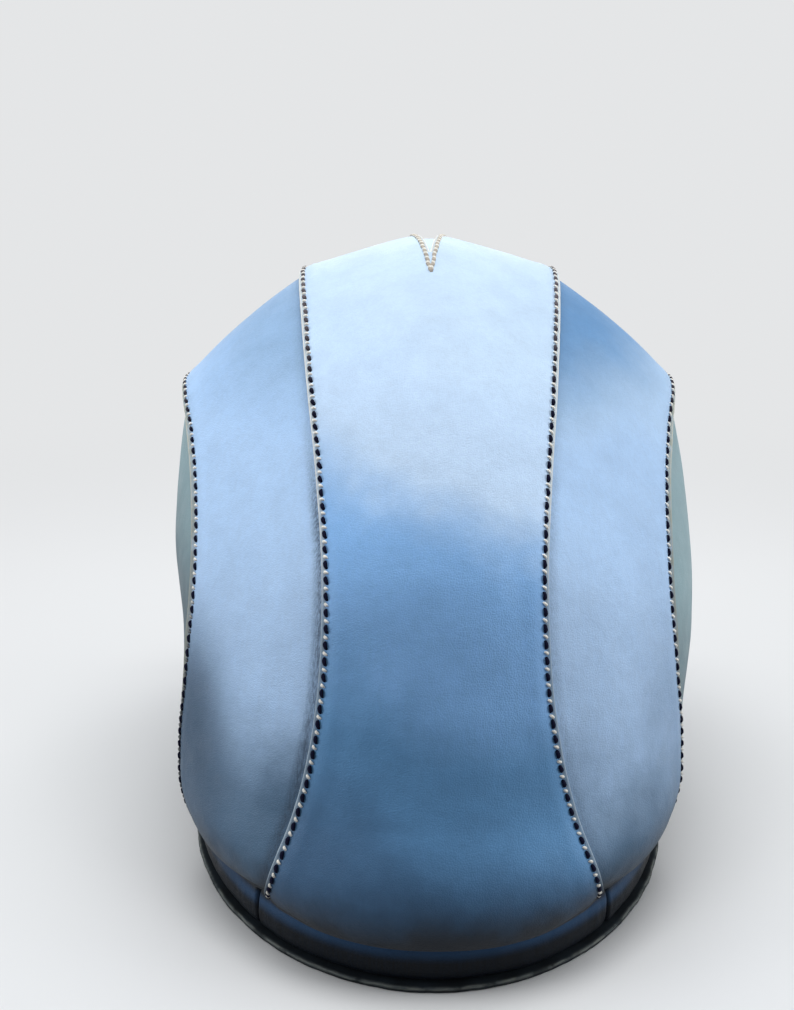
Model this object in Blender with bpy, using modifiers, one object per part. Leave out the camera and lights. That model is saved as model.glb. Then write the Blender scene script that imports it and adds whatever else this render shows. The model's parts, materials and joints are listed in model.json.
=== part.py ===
"""Soft leather helmet, standing on its neck roll.

The back faces -Y, the face opening +Y and the crown +Z. Five leather panels lap over each other like
shingles: the crown panel over the side panels, and these over the ear panels. Inside are the lining and
the cushions, below the neck roll on its base strip, and in front an open chin strap with its buckle.
"""
import math

import bmesh
import bpy
import numpy as np
from mathutils import Matrix, Vector

# Driving dimensions of the body, which the shares below refer to
BODY_WIDTH = 0.207
BODY_LENGTH = 0.267
BODY_HEIGHT = 0.237
BODY_SHIFT_Y = -0.0017

# Leather, lining and how they lie on each other
LEATHER = 0.0016
LINING = 0.0012
LAYER_GAP = 0.0004
LINING_GAP = 0.0006
PAD_GAP = 0.0005
SEAM_ALLOWANCE = 0.0022
UNDERLAP = 0.0065
LINING_FOOT_SHARE = 0.25

# The V let into the crown panel
DART_APEX_Y = -0.0095
DART_HALF_WIDTH_AT_BROW = 0.0170
DART_CUT_INSET = 0.0020

# Sewing thread
THREAD_RADIUS = 0.00045

# Neck roll and its base strip, a little in from the body's foot
ROLL_INSET = 0.0020
ROLL_FRONT_NARROWING = 0.0020
ROLL_WIDTH = 0.0140
ROLL_TOP = 0.0192
BASE_THICKNESS = 0.0020
BASE_OVERHANG = 0.0010

# Rolled edge of the face opening
FACE_ROLL_RADIUS = 0.0038

# Cushions: depth away from the lining
CROWN_PAD_DEPTH = 0.0120
NAPE_PAD_DEPTH = 0.0110
SIDE_PAD_DEPTH = 0.0100
EAR_PAD_DEPTH = 0.0125
BROW_PAD_DEPTH = 0.0075

# Chin strap, its rivets and its buckle
STRAP_WIDTH = 0.0160
STRAP_THICKNESS = 0.0020
STRAP_STRAIGHT = 0.0460
STRAP_BEND_RADIUS = 0.0360
STRAP_DROP_ANGLE = math.radians(36.0)
TAIL_SETBACK = 0.0115
TAIL_REACH = 0.0830
TAIL_TIP_LENGTH = 0.0120
TAIL_HOLE_RADIUS = 0.0016
TAIL_HOLE_PITCH = 0.0130
TAIL_HOLES = 5
RIVET_SETBACK = 0.0170
RIVET_Z = 0.0600
RIVET_SHAFT_RADIUS = 0.0018
RIVET_HEAD_RADIUS = 0.0046
RIVET_HEAD_HEIGHT = 0.0016
RIVET_TAIL_HEIGHT = 0.0012
RIVET_HOLE_CLEARANCE = 0.0004
WASHER_RADIUS = 0.0048
WASHER_THICKNESS = 0.0010
SEAT_CLEARANCE = 0.0004
BUCKLE_WIRE_RADIUS = 0.0013
BUCKLE_LENGTH = 0.0210
BUCKLE_SIDE_CLEARANCE = 0.0006
BUCKLE_CORNER_RADIUS = 0.0030
HEEL_BAR_REACH = 0.0360
FOLD_CLEARANCE = 0.00035
FOLD_RETURN = 0.0120
PRONG_WIRE_RADIUS = 0.0009
PRONG_SLOT_CLEARANCE = 0.0005
PRONG_CLEARANCE = 0.0003
PRONG_OVERREACH = 0.0010
KEEPER_WIDTH = 0.0070
KEEPER_WALL = 0.0013
KEEPER_CLEARANCE = 0.0004
KEEPER_REACH = 0.0230

# One overrun serves every cutter
CUT_OVERRUN = 0.0100

# Stations from the nape over the crown to the brow. First come shares of half the width, half the length
# and the height: the inner seam, then the outer seam. Next comes how far the side panel bulges as a share
# of its width. Last come the crown panel's rise as a share of its half width, the power of its section,
# 2 for a round one and 1 for a ridge, and how far that rise may dip below level.
STATION_SHARES = [
    ((0.560, -0.801, 0.083), (0.865, -0.425, 0.082), 0.075, 0.474, 2.8, 0.0),
    ((0.551, -0.861, 0.114), (0.913, -0.455, 0.114), 0.085, 0.395, 2.4, 0.20),
    ((0.531, -0.888, 0.148), (0.930, -0.476, 0.156), 0.090, 0.345, 2.2, 0.08),
    ((0.449, -0.869, 0.241), (0.926, -0.491, 0.236), 0.080, 0.290, 2.0, 0.0),
    ((0.367, -0.839, 0.405), (0.886, -0.502, 0.371), 0.050, 0.238, 2.0, 0.0),
    ((0.348, -0.753, 0.565), (0.860, -0.423, 0.504), 0.030, 0.225, 2.0, 0.0),
    ((0.377, -0.562, 0.688), (0.870, -0.270, 0.620), 0.025, 0.244, 1.8, 0.0),
    ((0.419, -0.342, 0.797), (0.908, -0.105, 0.702), 0.035, 0.255, 1.5, 0.0),
    ((0.459, -0.075, 0.890), (0.957, 0.049, 0.749), 0.040, 0.265, 1.2, 0.0),
    ((0.486, 0.157, 0.932), (0.981, 0.202, 0.757), 0.040, 0.268, 1.15, 0.0),
    ((0.491, 0.315, 0.932), (0.969, 0.333, 0.747), 0.035, 0.270, 1.15, 0.0),
    ((0.478, 0.494, 0.895), (0.928, 0.468, 0.715), 0.030, 0.275, 1.25, 0.0),
    ((0.444, 0.734, 0.776), (0.836, 0.667, 0.650), 0.025, 0.275, 1.5, 0.0),
    ((0.406, 0.891, 0.633), (0.715, 0.813, 0.576), 0.030, 0.260, 1.7, 0.0),
]

# The ear panel: its front and bottom edges and its highest point, in the same shares
EAR_FRONT_SHARES = [(0.715, 0.813, 0.576), (0.831, 0.749, 0.519), (0.905, 0.704, 0.422),
                    (0.930, 0.689, 0.253), (0.894, 0.689, 0.082)]
EAR_BOTTOM_SHARES = [(0.894, 0.689, 0.082), (0.942, 0.412, 0.082), (0.957, 0.075, 0.082),
                     (0.935, -0.210, 0.082), (0.865, -0.425, 0.082)]
EAR_DOME_SHARES = (1.071, 0.090, 0.460)
EAR_DOME_POWER = 2.0
EAR_RING_SHARES = (1.0, 0.86, 0.62, 0.32)

# How finely the sheets are divided
PANEL_ROWS = 26
CENTRE_COLUMN_SHARES = (0.0, 0.3, 0.6, 0.87, 1.0)
SIDE_COLUMN_SHARES = (0.0, 0.3, 0.6, 0.88, 1.0)
EAR_FRONT_STEPS = 7
EAR_BOTTOM_STEPS = 8

# The neck roll's section, as shares of half its width and of its height above the base strip
ROLL_SECTION_SHARES = [(-1.0, 0.0), (-1.0, 0.62), (-0.72, 0.92), (-0.1, 1.0), (0.5, 0.99),
                       (0.86, 0.80), (1.0, 0.48), (0.96, 0.16), (0.80, 0.0)]
PLAN_SAMPLES = 200
SIDE_ROLL_STEPS = 16
BACK_ROLL_STEPS = 6

# Where the cushions lie: rows as shares of the way from nape to brow, columns with 1 at the inner seam
# and 2 at the outer one
CROWN_PAD_SHARES = (0.47, 0.74, 0.84)
NAPE_PAD_SHARES = (0.10, 0.40, 0.80)
SIDE_PAD_SHARES = (0.30, 0.72, 1.16, 1.84)
BROW_PAD_SHARES = (0.865, 0.975, 1.82)
EAR_PAD_RING_SHARES = (0.24, 0.56)
PAD_EDGE_SHARE = 0.0
PAD_RIM_SHARE = 0.25
PAD_DRAW_IN_SHARE = 0.22
PAD_CHANNEL_SHARE = 0.60
PAD_CHANNEL_ROWS = 3

# How finely the round things are divided
WIRE_RESOLUTION = 2
THREAD_RESOLUTION = 1
THREAD_SPREAD_SHARE = 0.02
BEND_STEPS = 8
TURN_SEGMENTS = 20
CORNER_STEPS = 2
PRONG_CURL_STEPS = 10
PRONG_CURL_END_DEG = 30.0
WELD_DISTANCE = 0.000001

# Outlines of the strap's round end and of the tail's point: how far back, and how wide, as shares
STRAP_END_SHARES = [(0.56, 0.45), (0.50, 0.72), (0.38, 0.93), (0.24, 1.0)]
TAIL_TIP_SHARES = [(1.0, 1.0), (0.5, 0.80), (0.12, 0.40), (0.0, 0.16)]

# Levels of the leather layers below the skin: each lies one leather and one gap lower
LAYER_STEP = LEATHER + LAYER_GAP
CROWN_LEVEL = 0.0
SIDE_LEVEL = -LAYER_STEP
EAR_LEVEL = SIDE_LEVEL - LEATHER - LINING_GAP
LINING_CENTRE_LEVEL = SIDE_LEVEL - LEATHER - LINING_GAP
LINING_SIDE_LEVEL = EAR_LEVEL - LEATHER - LINING_GAP
PAD_CENTRE_LEVEL = LINING_CENTRE_LEVEL - LINING - PAD_GAP
PAD_SIDE_LEVEL = LINING_SIDE_LEVEL - LINING - PAD_GAP
THREAD_LIFT = LAYER_GAP + THREAD_RADIUS

BODY_SCALE = np.array([BODY_WIDTH / 2.0, BODY_LENGTH / 2.0, BODY_HEIGHT])

COLOURS = {
    "leather_centre": ((0.28, 0.42, 0.60), 0.45),
    "leather_side": ((0.36, 0.50, 0.68), 0.45),
    "leather_ear": ((0.36, 0.48, 0.56), 0.50),
    "leather_roll": ((0.20, 0.31, 0.44), 0.45),
    "raw_leather": ((0.62, 0.60, 0.50), 0.80),
    "thread": ((0.02, 0.025, 0.05), 0.60),
    "lining": ((0.55, 0.52, 0.44), 0.90),
    "cushion": ((0.42, 0.45, 0.48), 0.85),
    "strap": ((0.22, 0.34, 0.48), 0.50),
    "metal": ((0.62, 0.60, 0.56), 0.30),
}


def clear_scene():
    """Remove what the file starts with."""
    for item in list(bpy.data.objects):
        bpy.data.objects.remove(item, do_unlink=True)


def make_collection(name):
    """Add a collection to the scene."""
    collection = bpy.data.collections.new(name)
    bpy.context.scene.collection.children.link(collection)
    return collection


def make_material(name, look):
    """Make one piece's own material from a named look."""
    colour, roughness = COLOURS[look]
    material = bpy.data.materials.new(name)
    material.use_nodes = True
    shader = material.node_tree.nodes["Principled BSDF"]
    shader.inputs["Base Color"].default_value = (*colour, 1.0)
    shader.inputs["Roughness"].default_value = roughness
    shader.inputs["Metallic"].default_value = 1.0 if look == "metal" else 0.0
    return material


class Workshop:
    """The collections, and the empties that carry the pieces."""

    def __init__(self):
        self.parts = make_collection("soft_helmet")
        self.cutters = make_collection("cutters")
        self.body = bpy.data.objects.new("helmet_frame", None)
        self.body.location = (0.0, BODY_SHIFT_Y, 0.0)
        self.parts.objects.link(self.body)

    def add_empty(self, name, matrix, parent):
        """Add an empty that carries a moving group."""
        empty = bpy.data.objects.new(name, None)
        self.parts.objects.link(empty)
        empty.parent = parent
        empty.matrix_local = matrix
        return empty

    def add_part(self, name, mesh, look, parent=None, matrix=None):
        """Add a named piece with its own material."""
        part = bpy.data.objects.new(name, mesh)
        self.parts.objects.link(part)
        part.parent = parent or self.body
        if matrix is not None:
            part.matrix_local = matrix
        mesh.materials.clear()
        mesh.materials.append(make_material(name + "_material", look))
        mesh.shade_smooth()
        mesh.set_sharp_from_angle(angle=math.radians(35.0))
        return part

    def add_cutter(self, name, mesh, parent=None, matrix=None):
        """Add a hidden cutter."""
        cutter = bpy.data.objects.new(name, mesh)
        self.cutters.objects.link(cutter)
        cutter.parent = parent or self.body
        if matrix is not None:
            cutter.matrix_local = matrix
        cutter.hide_render = True
        cutter.display_type = "WIRE"
        return cutter


def cut(part, cutter):
    """Cut one piece with a cutter."""
    modifier = part.modifiers.new("cut_" + cutter.name, "BOOLEAN")
    modifier.operation = "DIFFERENCE"
    modifier.solver = "EXACT"
    modifier.object = cutter


# Smooth curves through chosen points


def chord_knots(points):
    """Running length along a row of points, from 0 to 1."""
    steps = np.linalg.norm(np.diff(points, axis=0), axis=1)
    knots = np.concatenate([[0.0], np.cumsum(steps)])
    return knots / knots[-1]


def hermite(points, knots, places):
    """Read a smooth curve through points at the given places along it."""
    points = np.asarray(points, float)
    slopes = np.gradient(points, knots, axis=0)
    places = np.atleast_1d(places)
    index = np.clip(np.searchsorted(knots, places, side="right") - 1, 0, len(knots) - 2)
    span = (knots[index + 1] - knots[index])[:, None]
    share = ((places - knots[index]) / span[:, 0])[:, None]
    start, end = points[index], points[index + 1]
    leave, arrive = slopes[index] * span, slopes[index + 1] * span
    return ((2 * share**3 - 3 * share**2 + 1) * start + (share**3 - 2 * share**2 + share) * leave
            + (3 * share**2 - 2 * share**3) * end + (share**3 - share**2) * arrive)


def smooth_points(points, count):
    """Evenly placed points on a smooth curve through the given ones."""
    points = np.asarray(points, float)
    return hermite(points, chord_knots(points), np.linspace(0.0, 1.0, count))


def unit(vector):
    """Scale vectors to length one."""
    return vector / np.linalg.norm(vector, axis=-1, keepdims=True)


# The body's skin

INNER_POINTS = np.array([row[0] for row in STATION_SHARES]) * BODY_SCALE
OUTER_POINTS = np.array([row[1] for row in STATION_SHARES]) * BODY_SCALE
SHAPE_POINTS = np.array([row[2:] for row in STATION_SHARES])
STATION_KNOTS = chord_knots((INNER_POINTS + OUTER_POINTS) / 2.0)
EAR_DOME = np.array(EAR_DOME_SHARES) * BODY_SCALE


def inner_seam(place):
    """A point on the right inner seam."""
    return hermite(INNER_POINTS, STATION_KNOTS, place)


def outer_seam(place):
    """A point on the right outer seam."""
    return hermite(OUTER_POINTS, STATION_KNOTS, place)


def travel_direction(place):
    """Direction from nape to brow in the plane of symmetry."""
    step = 0.001
    ahead = inner_seam(np.clip(place + step, 0.0, 1.0))
    behind = inner_seam(np.clip(place - step, 0.0, 1.0))
    direction = ahead - behind
    direction[:, 0] = 0.0
    return unit(direction)


def centre_point(place, column):
    """A point on the crown panel, with column -1 and 1 at the inner seams."""
    place = np.atleast_1d(place)
    seam = inner_seam(place)
    travel = travel_direction(place)
    rise, power, dip = hermite(SHAPE_POINTS, STATION_KNOTS, place)[:, 1:].T
    outward = np.stack([np.zeros(len(travel)), -travel[:, 2], np.maximum(travel[:, 1], -dip)], axis=1)
    outward = unit(outward)
    rise = rise * seam[:, 0] * (1.0 - abs(column) ** power)
    point = seam * [column, 1.0, 1.0]
    return point + outward * rise[:, None]


def side_point(place, column):
    """A point on the right side panel, with column 0 at the inner and 1 at the outer seam."""
    place = np.atleast_1d(place)
    inner, outer = inner_seam(place), outer_seam(place)
    chord = outer - inner
    outward = unit(np.cross(chord, travel_direction(place)))
    bulge = hermite(SHAPE_POINTS, STATION_KNOTS, place)[:, :1]
    width = np.linalg.norm(chord, axis=1, keepdims=True)
    return inner + chord * column + outward * bulge * width * 4.0 * column * (1.0 - column)


def skin_point(place, column):
    """A point on the skin, with column from -2 to 2."""
    if abs(column) <= 1.0:
        return centre_point(place, column)
    return side_point(place, abs(column) - 1.0) * [math.copysign(1.0, column), 1.0, 1.0]


def panel_width(place):
    """Half width of the crown panel and width of the side panel."""
    return inner_seam(place)[:, 0], np.linalg.norm(outer_seam(place) - inner_seam(place), axis=1)


PLACES = np.linspace(0.0, 1.0, PANEL_ROWS)
RIGHT_COLUMNS = [*CENTRE_COLUMN_SHARES, *(1.0 + share for share in SIDE_COLUMN_SHARES[1:])]
COLUMNS = np.array([*(-column for column in RIGHT_COLUMNS[:0:-1]), *RIGHT_COLUMNS])
INSIDE_COLUMNS = [column for column in COLUMNS if abs(column) < 1.0]
INSIDE_SIDE_COLUMNS = [column for column in COLUMNS if 1.0 < column < 2.0]
FACETS = np.array([[skin_point(place, column)[0] for column in COLUMNS] for place in PLACES])
EAR_RINGS = np.array([0.0, *reversed(EAR_RING_SHARES)])


def skin_grid(places, columns):
    """Rows of points on the flat facets that all layers share. A column is a number, or one for each row."""
    places = np.asarray(places, float)
    wide = np.stack([np.broadcast_to(column, places.shape) for column in columns], axis=1)
    row = np.broadcast_to((places * (PANEL_ROWS - 1))[:, None], wide.shape)
    low = np.clip(np.floor(row).astype(int), 0, PANEL_ROWS - 2)
    left = np.clip(np.searchsorted(COLUMNS, wide, side="right") - 1, 0, len(COLUMNS) - 2)
    up = (row - low)[..., None]
    right = ((wide - COLUMNS[left]) / (COLUMNS[left + 1] - COLUMNS[left]))[..., None]
    below = FACETS[low, left] * (1.0 - right) + FACETS[low, left + 1] * right
    above = FACETS[low + 1, left] * (1.0 - right) + FACETS[low + 1, left + 1] * right
    return below * (1.0 - up) + above * up


def ear_point(edge, ring):
    """A point on the ear panel, between its highest point, ring 0, and a point on its edge, ring 1."""
    ring = np.asarray(ring, float)
    point = EAR_DOME + (edge - EAR_DOME) * ring[..., None]
    point[..., 0] = edge[..., 0] + (EAR_DOME[0] - edge[..., 0]) * (1.0 - ring**EAR_DOME_POWER)
    return point


def ear_facet(edge, ring):
    """A point on the ear panel's flat facets."""
    ring = np.broadcast_to(ring, len(edge))
    low = np.clip(np.searchsorted(EAR_RINGS, ring, side="right") - 1, 0, len(EAR_RINGS) - 2)
    share = ((ring - EAR_RINGS[low]) / (EAR_RINGS[low + 1] - EAR_RINGS[low]))[:, None]
    return (ear_point(edge, EAR_RINGS[low]) * (1.0 - share)
            + ear_point(edge, EAR_RINGS[low + 1]) * share)


EAR_FRONT = smooth_points(np.array(EAR_FRONT_SHARES) * BODY_SCALE, EAR_FRONT_STEPS + 1)
EAR_BOTTOM = smooth_points(np.array(EAR_BOTTOM_SHARES) * BODY_SCALE, EAR_BOTTOM_STEPS + 1)
FOOT_HALF_WIDTH = EAR_BOTTOM[:, 0].max()
FOOT_BACK = -FACETS[0, len(COLUMNS) // 2, 1]
RIVET_Y = np.interp(RIVET_Z, EAR_FRONT[::-1, 2], EAR_FRONT[::-1, 1]) - RIVET_SETBACK


def ear_edge():
    """The ear panel's closed edge: up the outer seam, down the front and back along the bottom."""
    return np.concatenate([FACETS[:, -1], EAR_FRONT[1:], EAR_BOTTOM[1:-1]])


def ear_surface(y, z):
    """The skin point of the ear panel at a height and a distance along the body, and its normal."""
    edge = ear_edge()

    def point_at(along, up):
        """Find the edge point beyond a place, and read the dome there."""
        aim = np.array([along, up]) - EAR_DOME[1:]
        ahead = np.roll(edge, -1, axis=0)
        for start, end in zip(edge, ahead):
            side = (end - start)[1:]
            base = (start - EAR_DOME)[1:]
            turn = aim[0] * side[1] - aim[1] * side[0]
            reach = (base[0] * side[1] - base[1] * side[0]) / turn
            share = (base[0] * aim[1] - base[1] * aim[0]) / turn
            if reach > 0.0 and 0.0 <= share <= 1.0:
                return ear_facet((start + (end - start) * share)[None], 1.0 / reach)[0]
        return EAR_DOME

    step = RIVET_HEAD_RADIUS
    across = point_at(y + step, z) - point_at(y - step, z)
    upward = point_at(y, z + step) - point_at(y, z - step)
    return point_at(y, z), unit(np.cross(across, upward))


# Sheets and solids from rows of points


def grid_faces(rows, columns, cyclic=False, start=0):
    """Faces of a grid, facing out where columns run along +X and rows from nape to brow."""
    faces = []
    last = rows if cyclic else rows - 1
    for row in range(last):
        for column in range(columns - 1):
            here = start + row * columns + column
            above = start + ((row + 1) % rows) * columns + column
            faces.append((here, here + 1, above + 1, above))
    return faces


def offset_points(points, faces, level):
    """Move a sheet along its normals, so that its faces lie level away."""
    sheet = bmesh.new()
    vertices = [sheet.verts.new(point) for point in points]
    for face in faces:
        sheet.faces.new([vertices[index] for index in face])
    sheet.normal_update()
    moved = np.array([vertex.co + vertex.normal * (level * vertex.calc_shell_factor())
                      for vertex in vertices])
    sheet.free()
    return moved


def mesh_from(name, points, faces):
    """Make a mesh from points and faces."""
    mesh = bpy.data.meshes.new(name)
    mesh.from_pydata([tuple(point) for point in points], [], [tuple(face) for face in faces])
    mesh.update()
    return mesh


def mirrored(points, faces):
    """The same sheet on the other side."""
    return np.asarray(points) * [-1.0, 1.0, 1.0], [tuple(reversed(face)) for face in faces]


def add_sheet(shop, name, points, faces, thickness, look):
    """Add a shell whose outer face is the given sheet."""
    part = shop.add_part(name, mesh_from(name, points, faces), look)
    solidify = part.modifiers.new("thickness", "SOLIDIFY")
    solidify.thickness = thickness
    solidify.offset = -1.0
    solidify.use_even_offset = True
    solidify.use_quality_normals = True
    return part


def add_pair(shop, name, points, faces, thickness, look):
    """Add a right sheet and its left mirror image."""
    right = add_sheet(shop, name + "_right", points, faces, thickness, look)
    left = add_sheet(shop, name + "_left", *mirrored(points, faces), thickness, look)
    return left, right


def make_crown_panel(shop):
    """The centre strip, over both side panels, with the V cut into its crown."""
    side_width = panel_width(PLACES)[1]
    beyond = 1.0 + SEAM_ALLOWANCE / side_width
    columns = [-beyond, -1.0, *INSIDE_COLUMNS, 1.0, beyond]
    grid = skin_grid(PLACES, columns)
    faces = grid_faces(len(PLACES), len(columns))
    points = offset_points(grid.reshape(-1, 3), faces, CROWN_LEVEL)
    panel = add_sheet(shop, "crown_panel", points, faces, LEATHER, "leather_centre")
    cut(panel, make_dart_cutter(shop))
    return panel


def ridge_heights():
    """Distance along the body of the crown's middle line, for each row above half height."""
    middle = FACETS[:, len(COLUMNS) // 2]
    return middle[:, 1], middle[:, 2] > BODY_HEIGHT / 2.0


def dart_half_width(y):
    """Half the distance between the two stitch rows of the V."""
    brow_y = FACETS[-1, len(COLUMNS) // 2, 1]
    return DART_HALF_WIDTH_AT_BROW * (y - DART_APEX_Y) / (brow_y - DART_APEX_Y)


def make_dart_cutter(shop):
    """An upright wedge that cuts the V."""
    brow_y = FACETS[-1, len(COLUMNS) // 2, 1]
    slope = DART_HALF_WIDTH_AT_BROW / (brow_y - DART_APEX_Y)
    tip_y = DART_APEX_Y + DART_CUT_INSET / slope
    far_y = brow_y + CUT_OVERRUN
    half = dart_half_width(far_y) - DART_CUT_INSET
    low, high = inner_seam(1.0)[0, 2] - CUT_OVERRUN, BODY_HEIGHT + CUT_OVERRUN
    wedge = bmesh.new()
    corners = [(0.0, tip_y), (half, far_y), (-half, far_y)]
    bottom = wedge.faces.new([wedge.verts.new((x, y, low)) for x, y in corners])
    raised = bmesh.ops.extrude_face_region(wedge, geom=[bottom])
    lifted = [item for item in raised["geom"] if isinstance(item, bmesh.types.BMVert)]
    bmesh.ops.translate(wedge, verts=lifted, vec=(0.0, 0.0, high - low))
    bmesh.ops.recalc_face_normals(wedge, faces=wedge.faces)
    mesh = bpy.data.meshes.new("dart_cutter")
    wedge.to_mesh(mesh)
    wedge.free()
    return shop.add_cutter("dart_cutter", mesh)


def make_crown_gusset(shop):
    """The V-shaped piece under the cut in the crown panel."""
    along, above = ridge_heights()
    chosen = PLACES[(along > DART_APEX_Y) & above]
    half_width = dart_half_width(along[(along > DART_APEX_Y) & above])
    share = (half_width + UNDERLAP - DART_CUT_INSET) / panel_width(chosen)[0]
    grid = skin_grid(chosen, [-share, -share / 2.0, np.zeros(len(chosen)), share / 2.0, share])
    faces = grid_faces(len(chosen), 5)
    points = offset_points(grid.reshape(-1, 3), faces, SIDE_LEVEL)
    return add_sheet(shop, "crown_gusset", points, faces, LEATHER, "leather_centre")


def make_side_panels(shop):
    """The strips between inner and outer seams, under the crown panel and over the ear panels."""
    columns = [INSIDE_COLUMNS[-1], 1.0, *INSIDE_SIDE_COLUMNS, 2.0]
    grid = skin_grid(PLACES, columns)
    seam = FACETS[:, -1]
    reach = np.linalg.norm(seam - EAR_DOME, axis=1)
    over = ear_facet(seam, 1.0 - SEAM_ALLOWANCE / reach)
    grid = np.concatenate([grid, over[:, None, :]], axis=1)
    faces = grid_faces(grid.shape[0], grid.shape[1])
    points = offset_points(grid.reshape(-1, 3), faces, SIDE_LEVEL)
    return add_pair(shop, "side_panel", points, faces, LEATHER, "leather_side")


def ear_sheet(rings, lapped):
    """The right ear panel's sheet: rings around its highest point, and a margin along the seam."""
    edge = ear_edge()
    count = len(edge)
    points = list(np.concatenate([ear_facet(edge, ring) for ring in rings])) + [EAR_DOME]
    faces = []
    for ring in range(len(rings) - 1):
        for index in range(count):
            following = (index + 1) % count
            outer, inner = ring * count, (ring + 1) * count
            faces.append((outer + index, outer + following, inner + following, inner + index))
    last, pole = (len(rings) - 1) * count, len(points) - 1
    for index in range(count):
        faces.append((last + index, last + (index + 1) % count, pole))
    if lapped:
        margin = skin_grid(PLACES, [INSIDE_SIDE_COLUMNS[-1]])[:, 0]
        start = len(points)
        points += list(margin)
        for index in range(len(PLACES) - 1):
            faces.append((start + index + 1, index + 1, index, start + index))
    return np.array(points), faces


def make_ear_panels(shop):
    """The moulded outer panels that cover the ears."""
    points, faces = ear_sheet(EAR_RING_SHARES, True)
    points, faces = facing_out(points, faces)
    points = offset_points(points, faces, EAR_LEVEL)
    return add_pair(shop, "ear_panel", points, faces, LEATHER, "leather_ear")


def facing_out(points, faces):
    """Turn a right-hand sheet's faces so that its largest faces look along +X."""
    first = np.asarray(points)[list(faces[0][:3])]
    normal = np.cross(first[1] - first[0], first[2] - first[0])
    middle = first.mean(axis=0) - np.array([0.0, 0.0, BODY_HEIGHT / 2.0])
    if np.dot(normal, middle) < 0.0:
        faces = [tuple(reversed(face)) for face in faces]
    return points, faces


# Lining


def make_lining(shop):
    """The lining: a centre strip, two side strips and two ear pieces."""
    half_width, side_width = panel_width(PLACES)
    places = PLACES.copy()
    places[0] = LINING_FOOT_SHARE * PLACES[1]
    inset = 2.0 * LEATHER
    edge = 1.0 - inset / half_width
    columns = [-edge, *INSIDE_COLUMNS, edge]
    grid = skin_grid(places, columns)
    faces = grid_faces(len(places), len(columns))
    points = offset_points(grid.reshape(-1, 3), faces, LINING_CENTRE_LEVEL)
    add_sheet(shop, "lining_centre", points, faces, LINING, "lining")

    near, far = 1.0 + LEATHER / side_width, 2.0 - inset / side_width
    columns = [near, *INSIDE_SIDE_COLUMNS, far]
    grid = skin_grid(places, columns)
    faces = grid_faces(len(places), len(columns))
    points = offset_points(grid.reshape(-1, 3), faces, LINING_SIDE_LEVEL)
    add_pair(shop, "lining_side", points, faces, LINING, "lining")

    rings = [1.0 - inset / np.linalg.norm(outer_seam(0.5)[0] - EAR_DOME), *EAR_RING_SHARES[1:]]
    points, faces = facing_out(*ear_sheet(rings, False))
    points = offset_points(points, faces, LINING_SIDE_LEVEL)
    return add_pair(shop, "lining_ear", points, faces, LINING, "lining")


# Cushions


def pad_profile(count, channels=1):
    """Height of a cushion across its rows: one swell for each channel, low at both ends."""
    share = np.linspace(0.0, 1.0, count)
    floor = np.where((share * channels < 0.5) | (share * channels > channels - 0.5),
                     PAD_EDGE_SHARE, PAD_CHANNEL_SHARE)
    swell = np.sqrt(np.abs(np.sin(share * channels * math.pi)))
    return floor + (1.0 - floor) * swell


def cushion_points(grid, faces, level, depth, row_profile, column_profile):
    """Front and back sheets of a cushion that lies on the lining."""
    flat = grid.reshape(-1, 3)
    profile = np.outer(row_profile, column_profile).reshape(-1, 1)
    full = offset_points(flat, faces, level)
    deep = offset_points(flat, faces, level - depth)
    drawn = PAD_DRAW_IN_SHARE * (1.0 - profile)
    outer = full + (deep - full) * drawn
    inner = full + (deep - full) * (drawn + PAD_RIM_SHARE + (1.0 - PAD_RIM_SHARE - drawn) * profile)
    return outer, inner


def add_cushion(shop, name, grid, level, depth, row_profile, column_profile, cyclic=False):
    """Add a cushion from a grid of skin points, and return its data for a mirror image."""
    rows, columns = grid.shape[:2]
    faces = grid_faces(rows, columns, cyclic)
    outer, inner = cushion_points(grid, faces, level, depth, row_profile, column_profile)
    count = len(outer)
    closed = list(faces) + [tuple(count + index for index in reversed(face)) for face in faces]
    last = rows if cyclic else rows - 1
    for row in range(last):
        here, there = row * columns, ((row + 1) % rows) * columns
        closed.append((here, there, count + there, count + here))
        right, above = here + columns - 1, there + columns - 1
        closed.append((above, right, count + right, count + above))
    if not cyclic:
        for column in range(columns - 1):
            closed.append((column + 1, column, count + column, count + column + 1))
            top = (rows - 1) * columns + column
            closed.append((top, top + 1, count + top + 1, count + top))
    points = np.concatenate([outer, inner])
    shop.add_part(name, mesh_from(name, points, closed), "cushion")
    return points, closed


def add_mirrored_cushion(shop, name, data):
    """Add a right cushion's mirror image."""
    shop.add_part(name, mesh_from(name, *mirrored(*data)), "cushion")


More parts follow.
